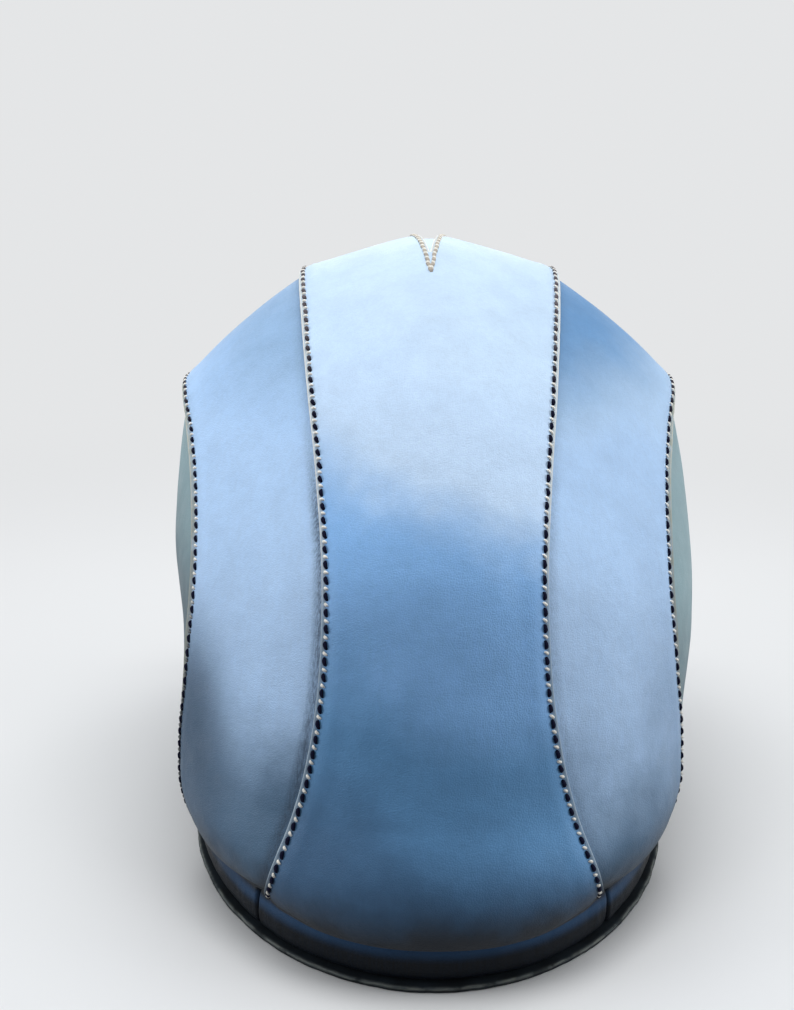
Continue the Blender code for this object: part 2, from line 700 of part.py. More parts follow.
def make_cushions(shop):
    """Crown, nape, brow, side and ear cushions."""
    low, high, wide = CROWN_PAD_SHARES
    places = np.linspace(low, high, 3 * PAD_CHANNEL_ROWS + 1)
    inside = [column for column in INSIDE_COLUMNS if abs(column) < wide]
    grid = skin_grid(places, [-wide, *inside, wide])
    add_cushion(shop, "crown_pad", grid, PAD_CENTRE_LEVEL, CROWN_PAD_DEPTH,
                pad_profile(len(places), 3), pad_profile(grid.shape[1]))

    low, high, wide = NAPE_PAD_SHARES
    places = np.linspace(low, high, 3 * PAD_CHANNEL_ROWS + 1)
    grid = skin_grid(places, [-wide, *inside, wide])
    add_cushion(shop, "nape_pad", grid, PAD_CENTRE_LEVEL, NAPE_PAD_DEPTH,
                pad_profile(len(places), 3), pad_profile(grid.shape[1]))

    low, high, near, far = SIDE_PAD_SHARES
    places = np.linspace(low, high, 3 * PAD_CHANNEL_ROWS + 1)
    inside = [column for column in INSIDE_SIDE_COLUMNS if near < column < far]
    grid = skin_grid(places, [near, *inside, far])
    data = add_cushion(shop, "side_pad_right", grid, PAD_SIDE_LEVEL, SIDE_PAD_DEPTH,
                       pad_profile(len(places), 3), pad_profile(grid.shape[1]))
    add_mirrored_cushion(shop, "side_pad_left", data)

    low, high, wide = BROW_PAD_SHARES
    columns = [-wide, *(column for column in COLUMNS if abs(column) < wide), wide]
    grid = skin_grid(np.linspace(low, high, 5), columns)
    add_cushion(shop, "brow_pad", grid, PAD_SIDE_LEVEL, BROW_PAD_DEPTH,
                pad_profile(5), pad_profile(grid.shape[1]))

    edge = ear_edge()[::2]
    inner_ring, outer_ring = EAR_PAD_RING_SHARES
    rings = np.linspace(outer_ring, inner_ring, 5)
    grid = np.stack([ear_facet(edge, ring) for ring in rings[::-1]], axis=1)
    data = add_cushion(shop, "ear_pad_right", grid[::-1], PAD_SIDE_LEVEL, EAR_PAD_DEPTH,
                       np.ones(len(edge)), pad_profile(5), cyclic=True)
    add_mirrored_cushion(shop, "ear_pad_left", data)


# Neck roll, base strip and face roll


def roll_plan(inset, front_y):
    """Half plan of the neck roll, from the middle of the back to its front end."""
    half_width, back = FOOT_HALF_WIDTH - ROLL_INSET - inset, FOOT_BACK - ROLL_INSET - inset
    angles = np.linspace(0.0, math.pi / 2.0, PLAN_SAMPLES)
    behind = np.stack([half_width * np.sin(angles), -back * np.cos(angles)], axis=1)
    forward = np.linspace(0.0, front_y, PLAN_SAMPLES)[1:]
    narrowing = ROLL_FRONT_NARROWING * (forward / front_y) ** 2
    ahead = np.stack([half_width - narrowing, forward], axis=1)
    return np.concatenate([behind, ahead])


def stretch_of_plan(plan, low, high, count):
    """Even steps along a plan, between two shares of its length, each with the direction outward."""
    places = chord_knots(plan)
    along = unit(np.gradient(plan, axis=0))
    rows = np.concatenate([plan, along[:, 1:], -along[:, :1]], axis=1)
    even = np.linspace(low, high, count)
    return np.stack([np.interp(even, places, rows[:, axis]) for axis in range(4)], axis=1)


def whole_plan(half):
    """Both halves of a plan, from the left front end to the right one."""
    return np.concatenate([half[:0:-1] * [-1.0, 1.0, -1.0, 1.0], half])


def sweep_along_plan(plan, section):
    """A closed solid from a section (outward, up) moved along a plan that runs from back to front."""
    points = []
    for x, y, side_x, side_y in plan:
        for out, up in section:
            points.append((x + side_x * out, y + side_y * out, up))
    size = len(section)
    faces = []
    for row in range(len(plan) - 1):
        for index in range(size):
            following = (index + 1) % size
            here, there = row * size, (row + 1) * size
            faces.append((here + index, here + following, there + following, there + index))
    faces.append(tuple(range(size - 1, -1, -1)))
    faces.append(tuple((len(plan) - 1) * size + index for index in range(size)))
    return facing_out_closed(np.array(points), faces)


def facing_out_closed(points, faces):
    """Turn a closed solid's faces outward."""
    solid = bmesh.new()
    vertices = [solid.verts.new(point) for point in points]
    for face in faces:
        solid.faces.new([vertices[index] for index in face])
    if solid.calc_volume(signed=True) < 0.0:
        faces = [tuple(reversed(face)) for face in faces]
    solid.free()
    return points, faces


def face_roll_path():
    """Centre line of the rolled edge of the face opening, from the right foot to the left one."""
    brow_level = (CROWN_LEVEL + LINING_SIDE_LEVEL - LINING) / 2.0
    cheek_level = (EAR_LEVEL + LINING_SIDE_LEVEL - LINING) / 2.0
    shift = FACE_ROLL_RADIUS + 2.0 * LAYER_GAP
    middle = len(COLUMNS) // 2
    edge, before = FACETS[-1, middle:], FACETS[-2, middle:]
    brow = []
    for index, point in enumerate(edge):
        ahead = unit(point - before[index])
        beside = unit(edge[min(index + 1, len(edge) - 1)] - edge[max(index - 1, 0)])
        brow.append(point + ahead * shift + unit(np.cross(beside, ahead)) * brow_level)
    front = ear_edge()[PANEL_ROWS - 1:PANEL_ROWS + EAR_FRONT_STEPS]
    tangents = unit(np.gradient(front, axis=0))
    cheek = []
    for point, tangent in zip(front, tangents):
        away = point - ear_facet(point[None], EAR_RINGS[-2])[0]
        away = unit(away - tangent * np.dot(away, tangent))
        outward = np.cross(away, tangent)
        outward = outward if outward[0] > 0.0 else -outward
        cheek.append(point + away * shift + outward * cheek_level)
    foot = cheek[-1] * [1.0, 1.0, 0.0] + [0.0, 0.0, BASE_THICKNESS + LAYER_GAP]
    half = np.array([foot, *cheek[:0:-1], *brow[-2::-1]])
    other = half[-2::-1] * [-1.0, 1.0, 1.0]
    return np.concatenate([half, other])


def mesh_of_curve(name, curve):
    """Turn a curve into a welded mesh that faces out."""
    holder = bpy.data.objects.new(name + "_holder", curve)
    bpy.context.scene.collection.objects.link(holder)
    bpy.context.view_layer.update()
    evaluated = holder.evaluated_get(bpy.context.evaluated_depsgraph_get())
    mesh = bpy.data.meshes.new_from_object(evaluated)
    bpy.data.objects.remove(holder, do_unlink=True)
    bpy.data.curves.remove(curve)
    welded = bmesh.new()
    welded.from_mesh(mesh)
    bmesh.ops.remove_doubles(welded, verts=welded.verts, dist=WELD_DISTANCE)
    bmesh.ops.recalc_face_normals(welded, faces=welded.faces)
    welded.to_mesh(mesh)
    welded.free()
    mesh.name = name
    return mesh


def tube_mesh(name, points, radius, resolution, cyclic=False):
    """Mesh of a round tube along points, with closed ends."""
    curve = bpy.data.curves.new(name + "_curve", "CURVE")
    curve.dimensions = "3D"
    curve.bevel_depth = radius
    curve.bevel_resolution = resolution
    curve.use_fill_caps = True
    spline = curve.splines.new("POLY")
    spline.points.add(len(points) - 1)
    for target, point in zip(spline.points, points):
        target.co = (*point, 1.0)
    spline.use_cyclic_u = cyclic
    return mesh_of_curve(name, curve)


def make_rolls(shop):
    """The face roll, the three pieces of the neck roll and their base strip."""
    path = face_roll_path()
    shop.add_part("face_roll", tube_mesh("face_roll", path, FACE_ROLL_RADIUS, WIRE_RESOLUTION),
                  "leather_roll")

    foot_y = path[0, 1] - FACE_ROLL_RADIUS - SEAT_CLEARANCE
    front_y = foot_y - ROLL_WIDTH * ROLL_FRONT_NARROWING / foot_y
    bottom = BASE_THICKNESS + LAYER_GAP
    section = [(out * ROLL_WIDTH / 2.0, bottom + up * (ROLL_TOP - bottom))
               for out, up in ROLL_SECTION_SHARES]
    inset = ROLL_WIDTH / 2.0
    plan = roll_plan(inset, front_y)
    places = chord_knots(plan)
    seam_x = inner_seam(0.0)[0, 0]
    seam_place = places[:PLAN_SAMPLES][np.argmin(abs(plan[:PLAN_SAMPLES, 0] - seam_x))]
    gap_share = LAYER_GAP / np.linalg.norm(np.diff(plan, axis=0), axis=1).sum()

    side = stretch_of_plan(plan, seam_place + gap_share, 1.0, SIDE_ROLL_STEPS)
    points, faces = sweep_along_plan(side, section)
    shop.add_part("neck_roll_right", mesh_from("neck_roll_right", points, faces), "leather_roll")
    shop.add_part("neck_roll_left", mesh_from("neck_roll_left", *mirrored(points, faces)),
                  "leather_roll")
    back = stretch_of_plan(plan, 0.0, seam_place, BACK_ROLL_STEPS)
    points, faces = sweep_along_plan(whole_plan(back), section)
    shop.add_part("neck_roll_back", mesh_from("neck_roll_back", points, faces), "leather_roll")

    strip_front = path[0, 1] + FACE_ROLL_RADIUS
    half = stretch_of_plan(roll_plan(inset, strip_front), 0.0, 1.0, SIDE_ROLL_STEPS + BACK_ROLL_STEPS)
    reach = ROLL_WIDTH / 2.0 + BASE_OVERHANG
    flat = [(-ROLL_WIDTH / 2.0, 0.0), (-ROLL_WIDTH / 2.0, BASE_THICKNESS), (reach, BASE_THICKNESS),
            (reach, 0.0)]
    points, faces = sweep_along_plan(whole_plan(half), flat)
    shop.add_part("neck_base", mesh_from("neck_base", points, faces), "raw_leather")


# Seam threads


def add_thread(shop, name, points):
    """Add one thread."""
    mesh = tube_mesh(name, points, THREAD_RADIUS, THREAD_RESOLUTION)
    shop.add_part(name, mesh, "thread")


def make_threads(shop):
    """One thread for each seam, laid on the panel that lies on top there."""
    grids = {"inner": (skin_grid(PLACES, [0.75, 1.0, 1.2]), CROWN_LEVEL)}
    over = ear_facet(FACETS[:, -1], EAR_RINGS[-2])
    outer = np.concatenate([skin_grid(PLACES, [1.75, 2.0]), over[:, None, :]], axis=1)
    grids["outer"] = (outer, SIDE_LEVEL)
    faces = grid_faces(len(PLACES), 3)
    for name, (grid, level) in grids.items():
        line = offset_points(grid.reshape(-1, 3), faces, level + THREAD_LIFT)[1::3]
        add_thread(shop, "seam_thread_" + name + "_right", line)
        add_thread(shop, "seam_thread_" + name + "_left", line * [-1.0, 1.0, 1.0])

    along, above = ridge_heights()
    chosen = (along > DART_APEX_Y) & above
    share = dart_half_width(along[chosen]) / panel_width(PLACES[chosen])[0]
    rows = np.flatnonzero(above)
    apex = float(np.interp(DART_APEX_Y, along[rows], PLACES[rows]))
    places = np.array([apex, *PLACES[chosen]])
    share = np.array([0.0, *share])
    grid = skin_grid(places, [share - THREAD_SPREAD_SHARE, share, share + THREAD_SPREAD_SHARE])
    faces = grid_faces(len(places), 3)
    arm = offset_points(grid.reshape(-1, 3), faces, CROWN_LEVEL + THREAD_LIFT)[1::3]
    arm[0, 0] = 0.0
    add_thread(shop, "dart_thread", np.concatenate([arm[:0:-1] * [-1.0, 1.0, 1.0], arm]))


# Chin strap


def frame_matrix(origin, x_axis, y_axis, z_axis):
    """A placement from an origin and three axes."""
    matrix = Matrix.Identity(4)
    for column, axis in enumerate((x_axis, y_axis, z_axis, origin)):
        for row in range(3):
            matrix[row][column] = float(axis[row])
    return matrix


def cheek_seat():
    """The rivet's place on the right ear panel's face, and the direction out of the cheek."""
    point, normal = ear_surface(RIVET_Y, RIVET_Z)
    return point + normal * EAR_LEVEL, normal


def strap_axes(mirror):
    """Placement of a strap half: X along it, Y into the cheek, Z across it."""
    seat, normal = cheek_seat()
    forward = unit(np.cross([0.0, 0.0, 1.0], normal))
    upward = np.cross(normal, forward)
    along = forward * math.cos(STRAP_DROP_ANGLE) - upward * math.sin(STRAP_DROP_ANGLE)
    across = forward * math.sin(STRAP_DROP_ANGLE) + upward * math.cos(STRAP_DROP_ANGLE)
    if mirror:
        flip = np.array([-1.0, 1.0, 1.0])
        return frame_matrix(seat * flip, along * flip, -normal * flip, -across * flip)
    return frame_matrix(seat, along, -normal, across)


def rivet_axes(mirror):
    """Placement with Z along the rivet, pointing out of the cheek."""
    seat, normal = cheek_seat()
    if mirror:
        flip = np.array([-1.0, 1.0, 1.0])
        seat, normal = seat * flip, normal * flip
    across = unit(np.cross([0.0, 0.0, 1.0], normal))
    return frame_matrix(seat, across, np.cross(normal, across), normal)


def strap_line(setback, reach):
    """Centre line of a strap half in its bending plane, and its last direction."""
    normal = cheek_seat()[1]
    turn = math.pi / 2.0 - math.atan2(normal[1], normal[0])
    straight = STRAP_STRAIGHT - setback
    line = [(0.0, -STRAP_CENTRE)]
    for step in range(BEND_STEPS + 1):
        angle = turn * step / BEND_STEPS
        line.append((straight + STRAP_BEND_RADIUS * math.sin(angle),
                     STRAP_BEND_RADIUS * (1.0 - math.cos(angle)) - STRAP_CENTRE))
    direction = np.array([math.cos(turn), math.sin(turn)])
    line.append(tuple(np.array(line[-1]) + direction * reach))
    return np.array(line), direction


def strap_stations(line):
    """Stations (point, side, width, low, high) of a plain strap with a round end at the rivet."""
    half = STRAP_THICKNESS / 2.0
    along = unit(np.gradient(line, axis=0))
    along[0] = along[1] = unit(line[1] - line[0])
    side = np.stack([-along[:, 1], along[:, 0]], axis=1)
    stations = []
    for back, width in STRAP_END_SHARES:
        point = line[0] - along[0] * back * STRAP_WIDTH
        stations.append((point, side[0], width * STRAP_WIDTH, -half, half))
    for point, direction in zip(line[1:-1], side[1:-1]):
        stations.append((point, direction, STRAP_WIDTH, -half, half))
    return stations


def strap_mesh(name, stations):
    """A solid with a rectangular section at each station."""
    points = []
    for point, side, width, low, high in stations:
        for across, off in ((-0.5, low), (0.5, low), (0.5, high), (-0.5, high)):
            place = point + side * off
            points.append((place[0], place[1], across * width))
    faces = [(3, 2, 1, 0)]
    for row in range(len(stations) - 1):
        for index in range(4):
            following = (index + 1) % 4
            here, there = row * 4, (row + 1) * 4
            faces.append((here + index, here + following, there + following, there + index))
    faces.append(tuple((len(stations) - 1) * 4 + index for index in range(4)))
    return mesh_from(name, *facing_out_closed(np.array(points), faces))


def turned_mesh(name, profile):
    """Profile of a turned solid about Z."""
    mesh = bpy.data.meshes.new(name)
    edges = [(index, index + 1) for index in range(len(profile) - 1)]
    if profile[0][0] > 0.0:
        edges.append((len(profile) - 1, 0))
    mesh.from_pydata([(radius, 0.0, height) for radius, height in profile], edges, [])
    return mesh


def add_turned(shop, name, profile, look, matrix):
    """Add a turned piece."""
    part = shop.add_part(name, turned_mesh(name, profile), look, shop.body, matrix)
    screw = part.modifiers.new("turn", "SCREW")
    screw.steps = TURN_SEGMENTS
    screw.render_steps = TURN_SEGMENTS
    screw.use_merge_vertices = True
    screw.merge_threshold = WELD_DISTANCE
    return part


def cylinder_mesh(name, radius, height, centres, turned=None):
    """Plain cylinders about Z, or about Z turned by a matrix, at the given centres."""
    solid = bmesh.new()
    for centre in centres:
        made = bmesh.ops.create_cone(solid, cap_ends=True, segments=TURN_SEGMENTS, radius1=radius,
                                     radius2=radius, depth=height)
        placed = Matrix.Translation(Vector(centre)) @ (turned or Matrix.Identity(4))
        bmesh.ops.transform(solid, matrix=placed, verts=made["verts"])
    mesh = bpy.data.meshes.new(name)
    solid.to_mesh(mesh)
    solid.free()
    return mesh


def box_mesh(name, size):
    """A plain box, centred."""
    solid = bmesh.new()
    bmesh.ops.create_cube(solid, size=1.0)
    bmesh.ops.scale(solid, vec=size, verts=solid.verts)
    mesh = bpy.data.meshes.new(name)
    solid.to_mesh(mesh)
    solid.free()
    return mesh


# Stack of the strap on the cheek, measured outward from the ear panel's face
WASHER_SEAT = SEAT_CLEARANCE
STRAP_CENTRE = WASHER_SEAT + WASHER_THICKNESS + LAYER_GAP + STRAP_THICKNESS / 2.0
HEAD_SEAT = STRAP_CENTRE + STRAP_THICKNESS / 2.0 + LAYER_GAP
TAIL_SEAT = LEATHER + LINING_GAP + LINING + SEAT_CLEARANCE
RIVET_HOLE_RADIUS = RIVET_SHAFT_RADIUS + RIVET_HOLE_CLEARANCE


def make_rivet(shop, mirror, panel, lining):
    """Rivet and washer of one strap half, and their holes in the panel and the lining."""
    side = "left" if mirror else "right"
    axes = rivet_axes(mirror)
    shaft, head = RIVET_SHAFT_RADIUS, RIVET_HEAD_RADIUS
    top, bottom = HEAD_SEAT + RIVET_HEAD_HEIGHT, -TAIL_SEAT - RIVET_TAIL_HEIGHT
    edge = RIVET_TAIL_HEIGHT / 2.0
    profile = [(0.0, top), (head - edge, top), (head, top - edge), (head, HEAD_SEAT),
               (shaft, HEAD_SEAT), (shaft, -TAIL_SEAT), (head, -TAIL_SEAT),
               (head, bottom + edge), (head - edge, bottom), (0.0, bottom)]
    add_turned(shop, "strap_rivet_" + side, profile, "metal", axes)
    low, high = WASHER_SEAT, WASHER_SEAT + WASHER_THICKNESS
    ring = [(RIVET_HOLE_RADIUS, high), (WASHER_RADIUS, high), (WASHER_RADIUS, low),
            (RIVET_HOLE_RADIUS, low)]
    add_turned(shop, "strap_washer_" + side, ring, "metal", axes)
    name = "rivet_drill_" + side
    mesh = cylinder_mesh(name, RIVET_HOLE_RADIUS, 2.0 * CUT_OVERRUN, [(0.0, 0.0, 0.0)])
    drill = shop.add_cutter(name, mesh, shop.body, axes)
    cut(panel, drill)
    cut(lining, drill)


def drill_strap(shop, part, name, pivot, radius, centres, direction):
    """Drill holes through a strap half, square to a direction in its bending plane."""
    side = Vector((-direction[1], direction[0], 0.0))
    turned = Vector((0.0, 0.0, 1.0)).rotation_difference(side).to_matrix().to_4x4()
    mesh = cylinder_mesh(name, radius, STRAP_THICKNESS * 4.0, centres, turned)
    cut(part, shop.add_cutter(name, mesh, pivot))


def make_strap_right(shop):
    """The tail half: a pointed strap with adjustment holes."""
    pivot = shop.add_empty("strap_pivot_right", strap_axes(False), shop.body)
    line, direction = strap_line(TAIL_SETBACK, TAIL_REACH)
    side = np.array([-direction[1], direction[0]])
    half = STRAP_THICKNESS / 2.0
    stations = strap_stations(line)
    for back, width in TAIL_TIP_SHARES:
        point = line[-1] - direction * back * TAIL_TIP_LENGTH
        stations.append((point, side, width * STRAP_WIDTH, -half, half))
    mesh = strap_mesh("chin_strap_right", stations)
    part = shop.add_part("chin_strap_right", mesh, "strap", pivot)
    drill_strap(shop, part, "tail_rivet_hole", pivot, RIVET_HOLE_RADIUS,
                [(0.0, -STRAP_CENTRE, 0.0)], np.array([1.0, 0.0]))
    centres = []
    for index in range(TAIL_HOLES):
        place = line[-1] - direction * (2.0 * TAIL_TIP_LENGTH + index * TAIL_HOLE_PITCH)
        centres.append((place[0], place[1], 0.0))
    drill_strap(shop, part, "tail_holes", pivot, TAIL_HOLE_RADIUS, centres, direction)
    return part


def fold_stations(end, direction, side, bar_off):
    """Stations of the fold: the sewn return, the swell round the heel bar and the nose before it."""
    half = STRAP_THICKNESS / 2.0
    inner = BUCKLE_WIRE_RADIUS + FOLD_CLEARANCE
    outer = inner + STRAP_THICKNESS
    double = half + STRAP_THICKNESS
    rows = [(-FOLD_RETURN - half, -half, half), (-FOLD_RETURN, -half, double),
            (-2.0 * outer, -half, double), (-outer, -half, (double + bar_off + outer) / 2.0)]
    for step in range(BEND_STEPS // 2 + 1):
        angle = math.pi / 2.0 * step / (BEND_STEPS // 2 + 0.5)
        rows.append((outer * math.sin(angle), bar_off - outer * math.cos(angle),
                     bar_off + outer * math.cos(angle)))
    return [(end + direction * ahead, side, STRAP_WIDTH, low, high) for ahead, low, high in rows]


def make_strap_left(shop):
    """The buckle half: strap with a fold, buckle frame, prong and keeper."""
    pivot = shop.add_empty("strap_pivot_left", strap_axes(True), shop.body)
    line, direction = strap_line(0.0, HEEL_BAR_REACH)
    side = np.array([-direction[1], direction[0]])
    inner = BUCKLE_WIRE_RADIUS + FOLD_CLEARANCE
    bar_off = inner + STRAP_THICKNESS / 2.0
    stations = strap_stations(line) + fold_stations(line[-1], direction, side, bar_off)
    part = shop.add_part("chin_strap_left", strap_mesh("chin_strap_left", stations), "strap", pivot)
    drill_strap(shop, part, "buckle_rivet_hole", pivot, RIVET_HOLE_RADIUS,
                [(0.0, -STRAP_CENTRE, 0.0)], np.array([1.0, 0.0]))
    bar = line[-1] + side * bar_off
    flat = frame_matrix((bar[0], bar[1], 0.0), (*direction, 0.0), (*side, 0.0), (0.0, 0.0, 1.0))
    frame_pivot = shop.add_empty("buckle_pivot", flat, pivot)

    half_step = Matrix.Rotation(math.pi / TURN_SEGMENTS, 4, "Z")
    eye = cylinder_mesh("fold_eye", inner, 2.0 * STRAP_WIDTH, [(0.0, 0.0, 0.0)], half_step)
    cut(part, shop.add_cutter("fold_eye", eye, frame_pivot))
    curl = BUCKLE_WIRE_RADIUS + PRONG_CLEARANCE + PRONG_WIRE_RADIUS
    slot_back = curl + PRONG_WIRE_RADIUS + PRONG_SLOT_CLEARANCE
    slot = box_mesh("prong_slot", (slot_back + CUT_OVERRUN, 2.0 * CUT_OVERRUN,
                                   2.0 * (PRONG_WIRE_RADIUS + PRONG_SLOT_CLEARANCE)))
    placed = Matrix.Translation(((CUT_OVERRUN - slot_back) / 2.0, 0.0, 0.0))
    cut(part, shop.add_cutter("prong_slot", slot, frame_pivot, placed))

    mesh = tube_mesh("buckle_frame", buckle_path(), BUCKLE_WIRE_RADIUS, WIRE_RESOLUTION, True)
    shop.add_part("buckle_frame", mesh, "metal", frame_pivot)
    points = []
    for step in range(PRONG_CURL_STEPS + 1):
        angle = math.radians(PRONG_CURL_END_DEG
                             + (270.0 - PRONG_CURL_END_DEG) * step / PRONG_CURL_STEPS)
        points.append((curl * math.cos(angle), curl * math.sin(angle), 0.0))
    points.append((BUCKLE_LENGTH + BUCKLE_WIRE_RADIUS + PRONG_OVERREACH, -curl, 0.0))
    mesh = tube_mesh("buckle_prong", points, PRONG_WIRE_RADIUS, WIRE_RESOLUTION)
    shop.add_part("buckle_prong", mesh, "metal", frame_pivot)

    make_keeper(shop, pivot, line[-1] - direction * KEEPER_REACH, direction, side)
    return part


def buckle_path():
    """Closed path of the buckle's wire, around its heel bar at X = 0."""
    half = STRAP_WIDTH / 2.0 + BUCKLE_SIDE_CLEARANCE + BUCKLE_WIRE_RADIUS
    corners = [(0.0, -half, 1.0, 1.0), (BUCKLE_LENGTH, -half, -1.0, 1.0),
               (BUCKLE_LENGTH, half, -1.0, -1.0), (0.0, half, 1.0, -1.0)]
    path = []
    for index, (x, z, inward_x, inward_z) in enumerate(corners):
        radius = BUCKLE_CORNER_RADIUS if x > 0.0 else BUCKLE_WIRE_RADIUS
        for step in range(CORNER_STEPS + 1):
            angle = math.pi / 2.0 * step / CORNER_STEPS
            if index % 2 == 0:
                angle = math.pi / 2.0 - angle
            path.append((x + inward_x * radius * (1.0 - math.sin(angle)), 0.0,
                         z + inward_z * radius * (1.0 - math.cos(angle))))
    return path


def make_keeper(shop, pivot, place, direction, side):
    """The sliding loop that holds the tail down."""
    low = -STRAP_THICKNESS * 1.5 - 2.0 * KEEPER_CLEARANCE
    high = STRAP_THICKNESS / 2.0 + KEEPER_CLEARANCE
    wide = STRAP_WIDTH / 2.0 + KEEPER_CLEARANCE
    loops = []
    for wall in (KEEPER_WALL, 0.0):
        loops.append([(low - wall, -wide - wall), (high + wall, -wide - wall),
                      (high + wall, wide + wall), (low - wall, wide + wall)])
    points = []
    for along in (-KEEPER_WIDTH / 2.0, KEEPER_WIDTH / 2.0):
        for loop in loops:
            points += [(along, off, across) for off, across in loop]
    faces = []
    for index in range(4):
        following = (index + 1) % 4
        faces.append((index, following, 8 + following, 8 + index))
        faces.append((4 + index, 12 + index, 12 + following, 4 + following))
        faces.append((index, 4 + index, 4 + following, following))
        faces.append((8 + index, 8 + following, 12 + following, 12 + index))
    flat = frame_matrix((place[0], place[1], 0.0), (*direction, 0.0), (*side, 0.0), (0.0, 0.0, 1.0))
    mesh = mesh_from("strap_keeper", *facing_out_closed(np.array(points), faces))
    shop.add_part("strap_keeper", mesh, "strap", pivot, flat)


def build():
    """Build the whole helmet."""
    clear_scene()
    shop = Workshop()
    make_crown_panel(shop)
    make_crown_gusset(shop)
    make_side_panels(shop)
    ear_left, ear_right = make_ear_panels(shop)
    lining_left, lining_right = make_lining(shop)
    make_cushions(shop)
    make_rolls(shop)
    make_threads(shop)
    make_rivet(shop, True, ear_left, lining_left)
    make_rivet(shop, False, ear_right, lining_right)
    make_strap_left(shop)
    make_strap_right(shop)
    bpy.context.view_layer.update()


build()
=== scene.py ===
"""Soft leather helmet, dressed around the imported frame.

Lapped powder-blue leather panels sewn with dark thread, a stuffed neck roll on its raw base strip, the
rolled face edge, lining, cushions and the open chin strap. The back faces -Y and the crown +Z.
"""
import json
import math

import bmesh
import bpy
import numpy as np
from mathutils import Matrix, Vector, noise


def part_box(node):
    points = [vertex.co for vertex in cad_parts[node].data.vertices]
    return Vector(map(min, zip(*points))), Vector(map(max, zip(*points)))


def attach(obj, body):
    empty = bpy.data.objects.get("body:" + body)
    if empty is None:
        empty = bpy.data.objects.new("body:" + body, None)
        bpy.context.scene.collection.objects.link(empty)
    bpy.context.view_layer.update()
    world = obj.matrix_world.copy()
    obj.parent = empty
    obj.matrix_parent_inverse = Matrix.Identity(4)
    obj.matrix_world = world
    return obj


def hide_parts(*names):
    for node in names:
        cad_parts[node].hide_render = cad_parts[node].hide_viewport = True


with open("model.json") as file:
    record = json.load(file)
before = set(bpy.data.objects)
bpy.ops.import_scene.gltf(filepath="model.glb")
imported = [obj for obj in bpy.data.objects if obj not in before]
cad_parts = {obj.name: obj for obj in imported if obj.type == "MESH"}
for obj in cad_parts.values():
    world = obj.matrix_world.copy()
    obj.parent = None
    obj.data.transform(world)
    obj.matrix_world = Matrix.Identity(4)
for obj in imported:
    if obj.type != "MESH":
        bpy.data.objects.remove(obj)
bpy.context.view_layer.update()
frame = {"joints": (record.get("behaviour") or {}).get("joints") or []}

# The body's form: the same stations as the solids follow, in the body's own frame
BODY_WIDTH = 0.207
BODY_LENGTH = 0.267
BODY_HEIGHT = 0.237
BODY_SHIFT = np.array([0.0, -0.0017, 0.0])
LEATHER = 0.0016
LINING = 0.0012
LAYER_GAP = 0.0004
LINING_GAP = 0.0006
SEAM_ALLOWANCE = 0.0022
UNDERLAP = 0.0065
DART_APEX_Y = -0.0095
DART_HALF_WIDTH_AT_BROW = 0.0170
DART_CUT_INSET = 0.0020
STITCH_PITCH = 0.0053

SIDE_LEVEL = -(LEATHER + LAYER_GAP)
EAR_LEVEL = SIDE_LEVEL - LEATHER - LINING_GAP
LINING_CENTRE_LEVEL = SIDE_LEVEL - LEATHER - LINING_GAP
LINING_SIDE_LEVEL = EAR_LEVEL - LEATHER - LINING_GAP

BODY_SCALE = np.array([BODY_WIDTH / 2.0, BODY_LENGTH / 2.0, BODY_HEIGHT])
FLIP = np.array([-1.0, 1.0, 1.0])

# Stations from the nape to the brow: inner seam, outer seam, the side panel's bulge, then the crown
# panel's rise, the power of its section and how far the rise may dip
STATION_SHARES = [
    ((0.560, -0.801, 0.083), (0.865, -0.425, 0.082), 0.075, 0.474, 2.8, 0.0),
    ((0.551, -0.861, 0.114), (0.913, -0.455, 0.114), 0.085, 0.395, 2.4, 0.20),
    ((0.531, -0.888, 0.148), (0.930, -0.476, 0.156), 0.090, 0.345, 2.2, 0.08),
    ((0.449, -0.869, 0.241), (0.926, -0.491, 0.236), 0.080, 0.290, 2.0, 0.0),
    ((0.367, -0.839, 0.405), (0.886, -0.502, 0.371), 0.050, 0.238, 2.0, 0.0),
    ((0.348, -0.753, 0.565), (0.860, -0.423, 0.504), 0.030, 0.225, 2.0, 0.0),
    ((0.377, -0.562, 0.688), (0.870, -0.270, 0.620), 0.025, 0.244, 1.8, 0.0),
    ((0.419, -0.342, 0.797), (0.908, -0.105, 0.702), 0.035, 0.255, 1.5, 0.0),
    ((0.459, -0.075, 0.890), (0.957, 0.049, 0.749), 0.040, 0.265, 1.2, 0.0),
    ((0.486, 0.157, 0.932), (0.981, 0.202, 0.757), 0.040, 0.268, 1.15, 0.0),
    ((0.491, 0.315, 0.932), (0.969, 0.333, 0.747), 0.035, 0.270, 1.15, 0.0),
    ((0.478, 0.494, 0.895), (0.928, 0.468, 0.715), 0.030, 0.275, 1.25, 0.0),
    ((0.444, 0.734, 0.776), (0.836, 0.667, 0.650), 0.025, 0.275, 1.5, 0.0),
    ((0.406, 0.891, 0.633), (0.715, 0.813, 0.576), 0.030, 0.260, 1.7, 0.0),
]
EAR_FRONT_SHARES = [(0.715, 0.813, 0.576), (0.831, 0.749, 0.519), (0.905, 0.704, 0.422),
                    (0.930, 0.689, 0.253), (0.894, 0.689, 0.082)]
EAR_BOTTOM_SHARES = [(0.894, 0.689, 0.082), (0.942, 0.412, 0.082), (0.957, 0.075, 0.082),
                     (0.935, -0.210, 0.082), (0.865, -0.425, 0.082)]
EAR_DOME_SHARES = (1.071, 0.090, 0.460)
RIDGE_SHARE = 0.10
MARGIN_LIFT = 0.85
MARGIN_EXTRA = 0.5
EAR_SINK = {-1.0: (0.085, 0.125, 0.0052), 1.0: (0.055, 0.090, 0.0024)}

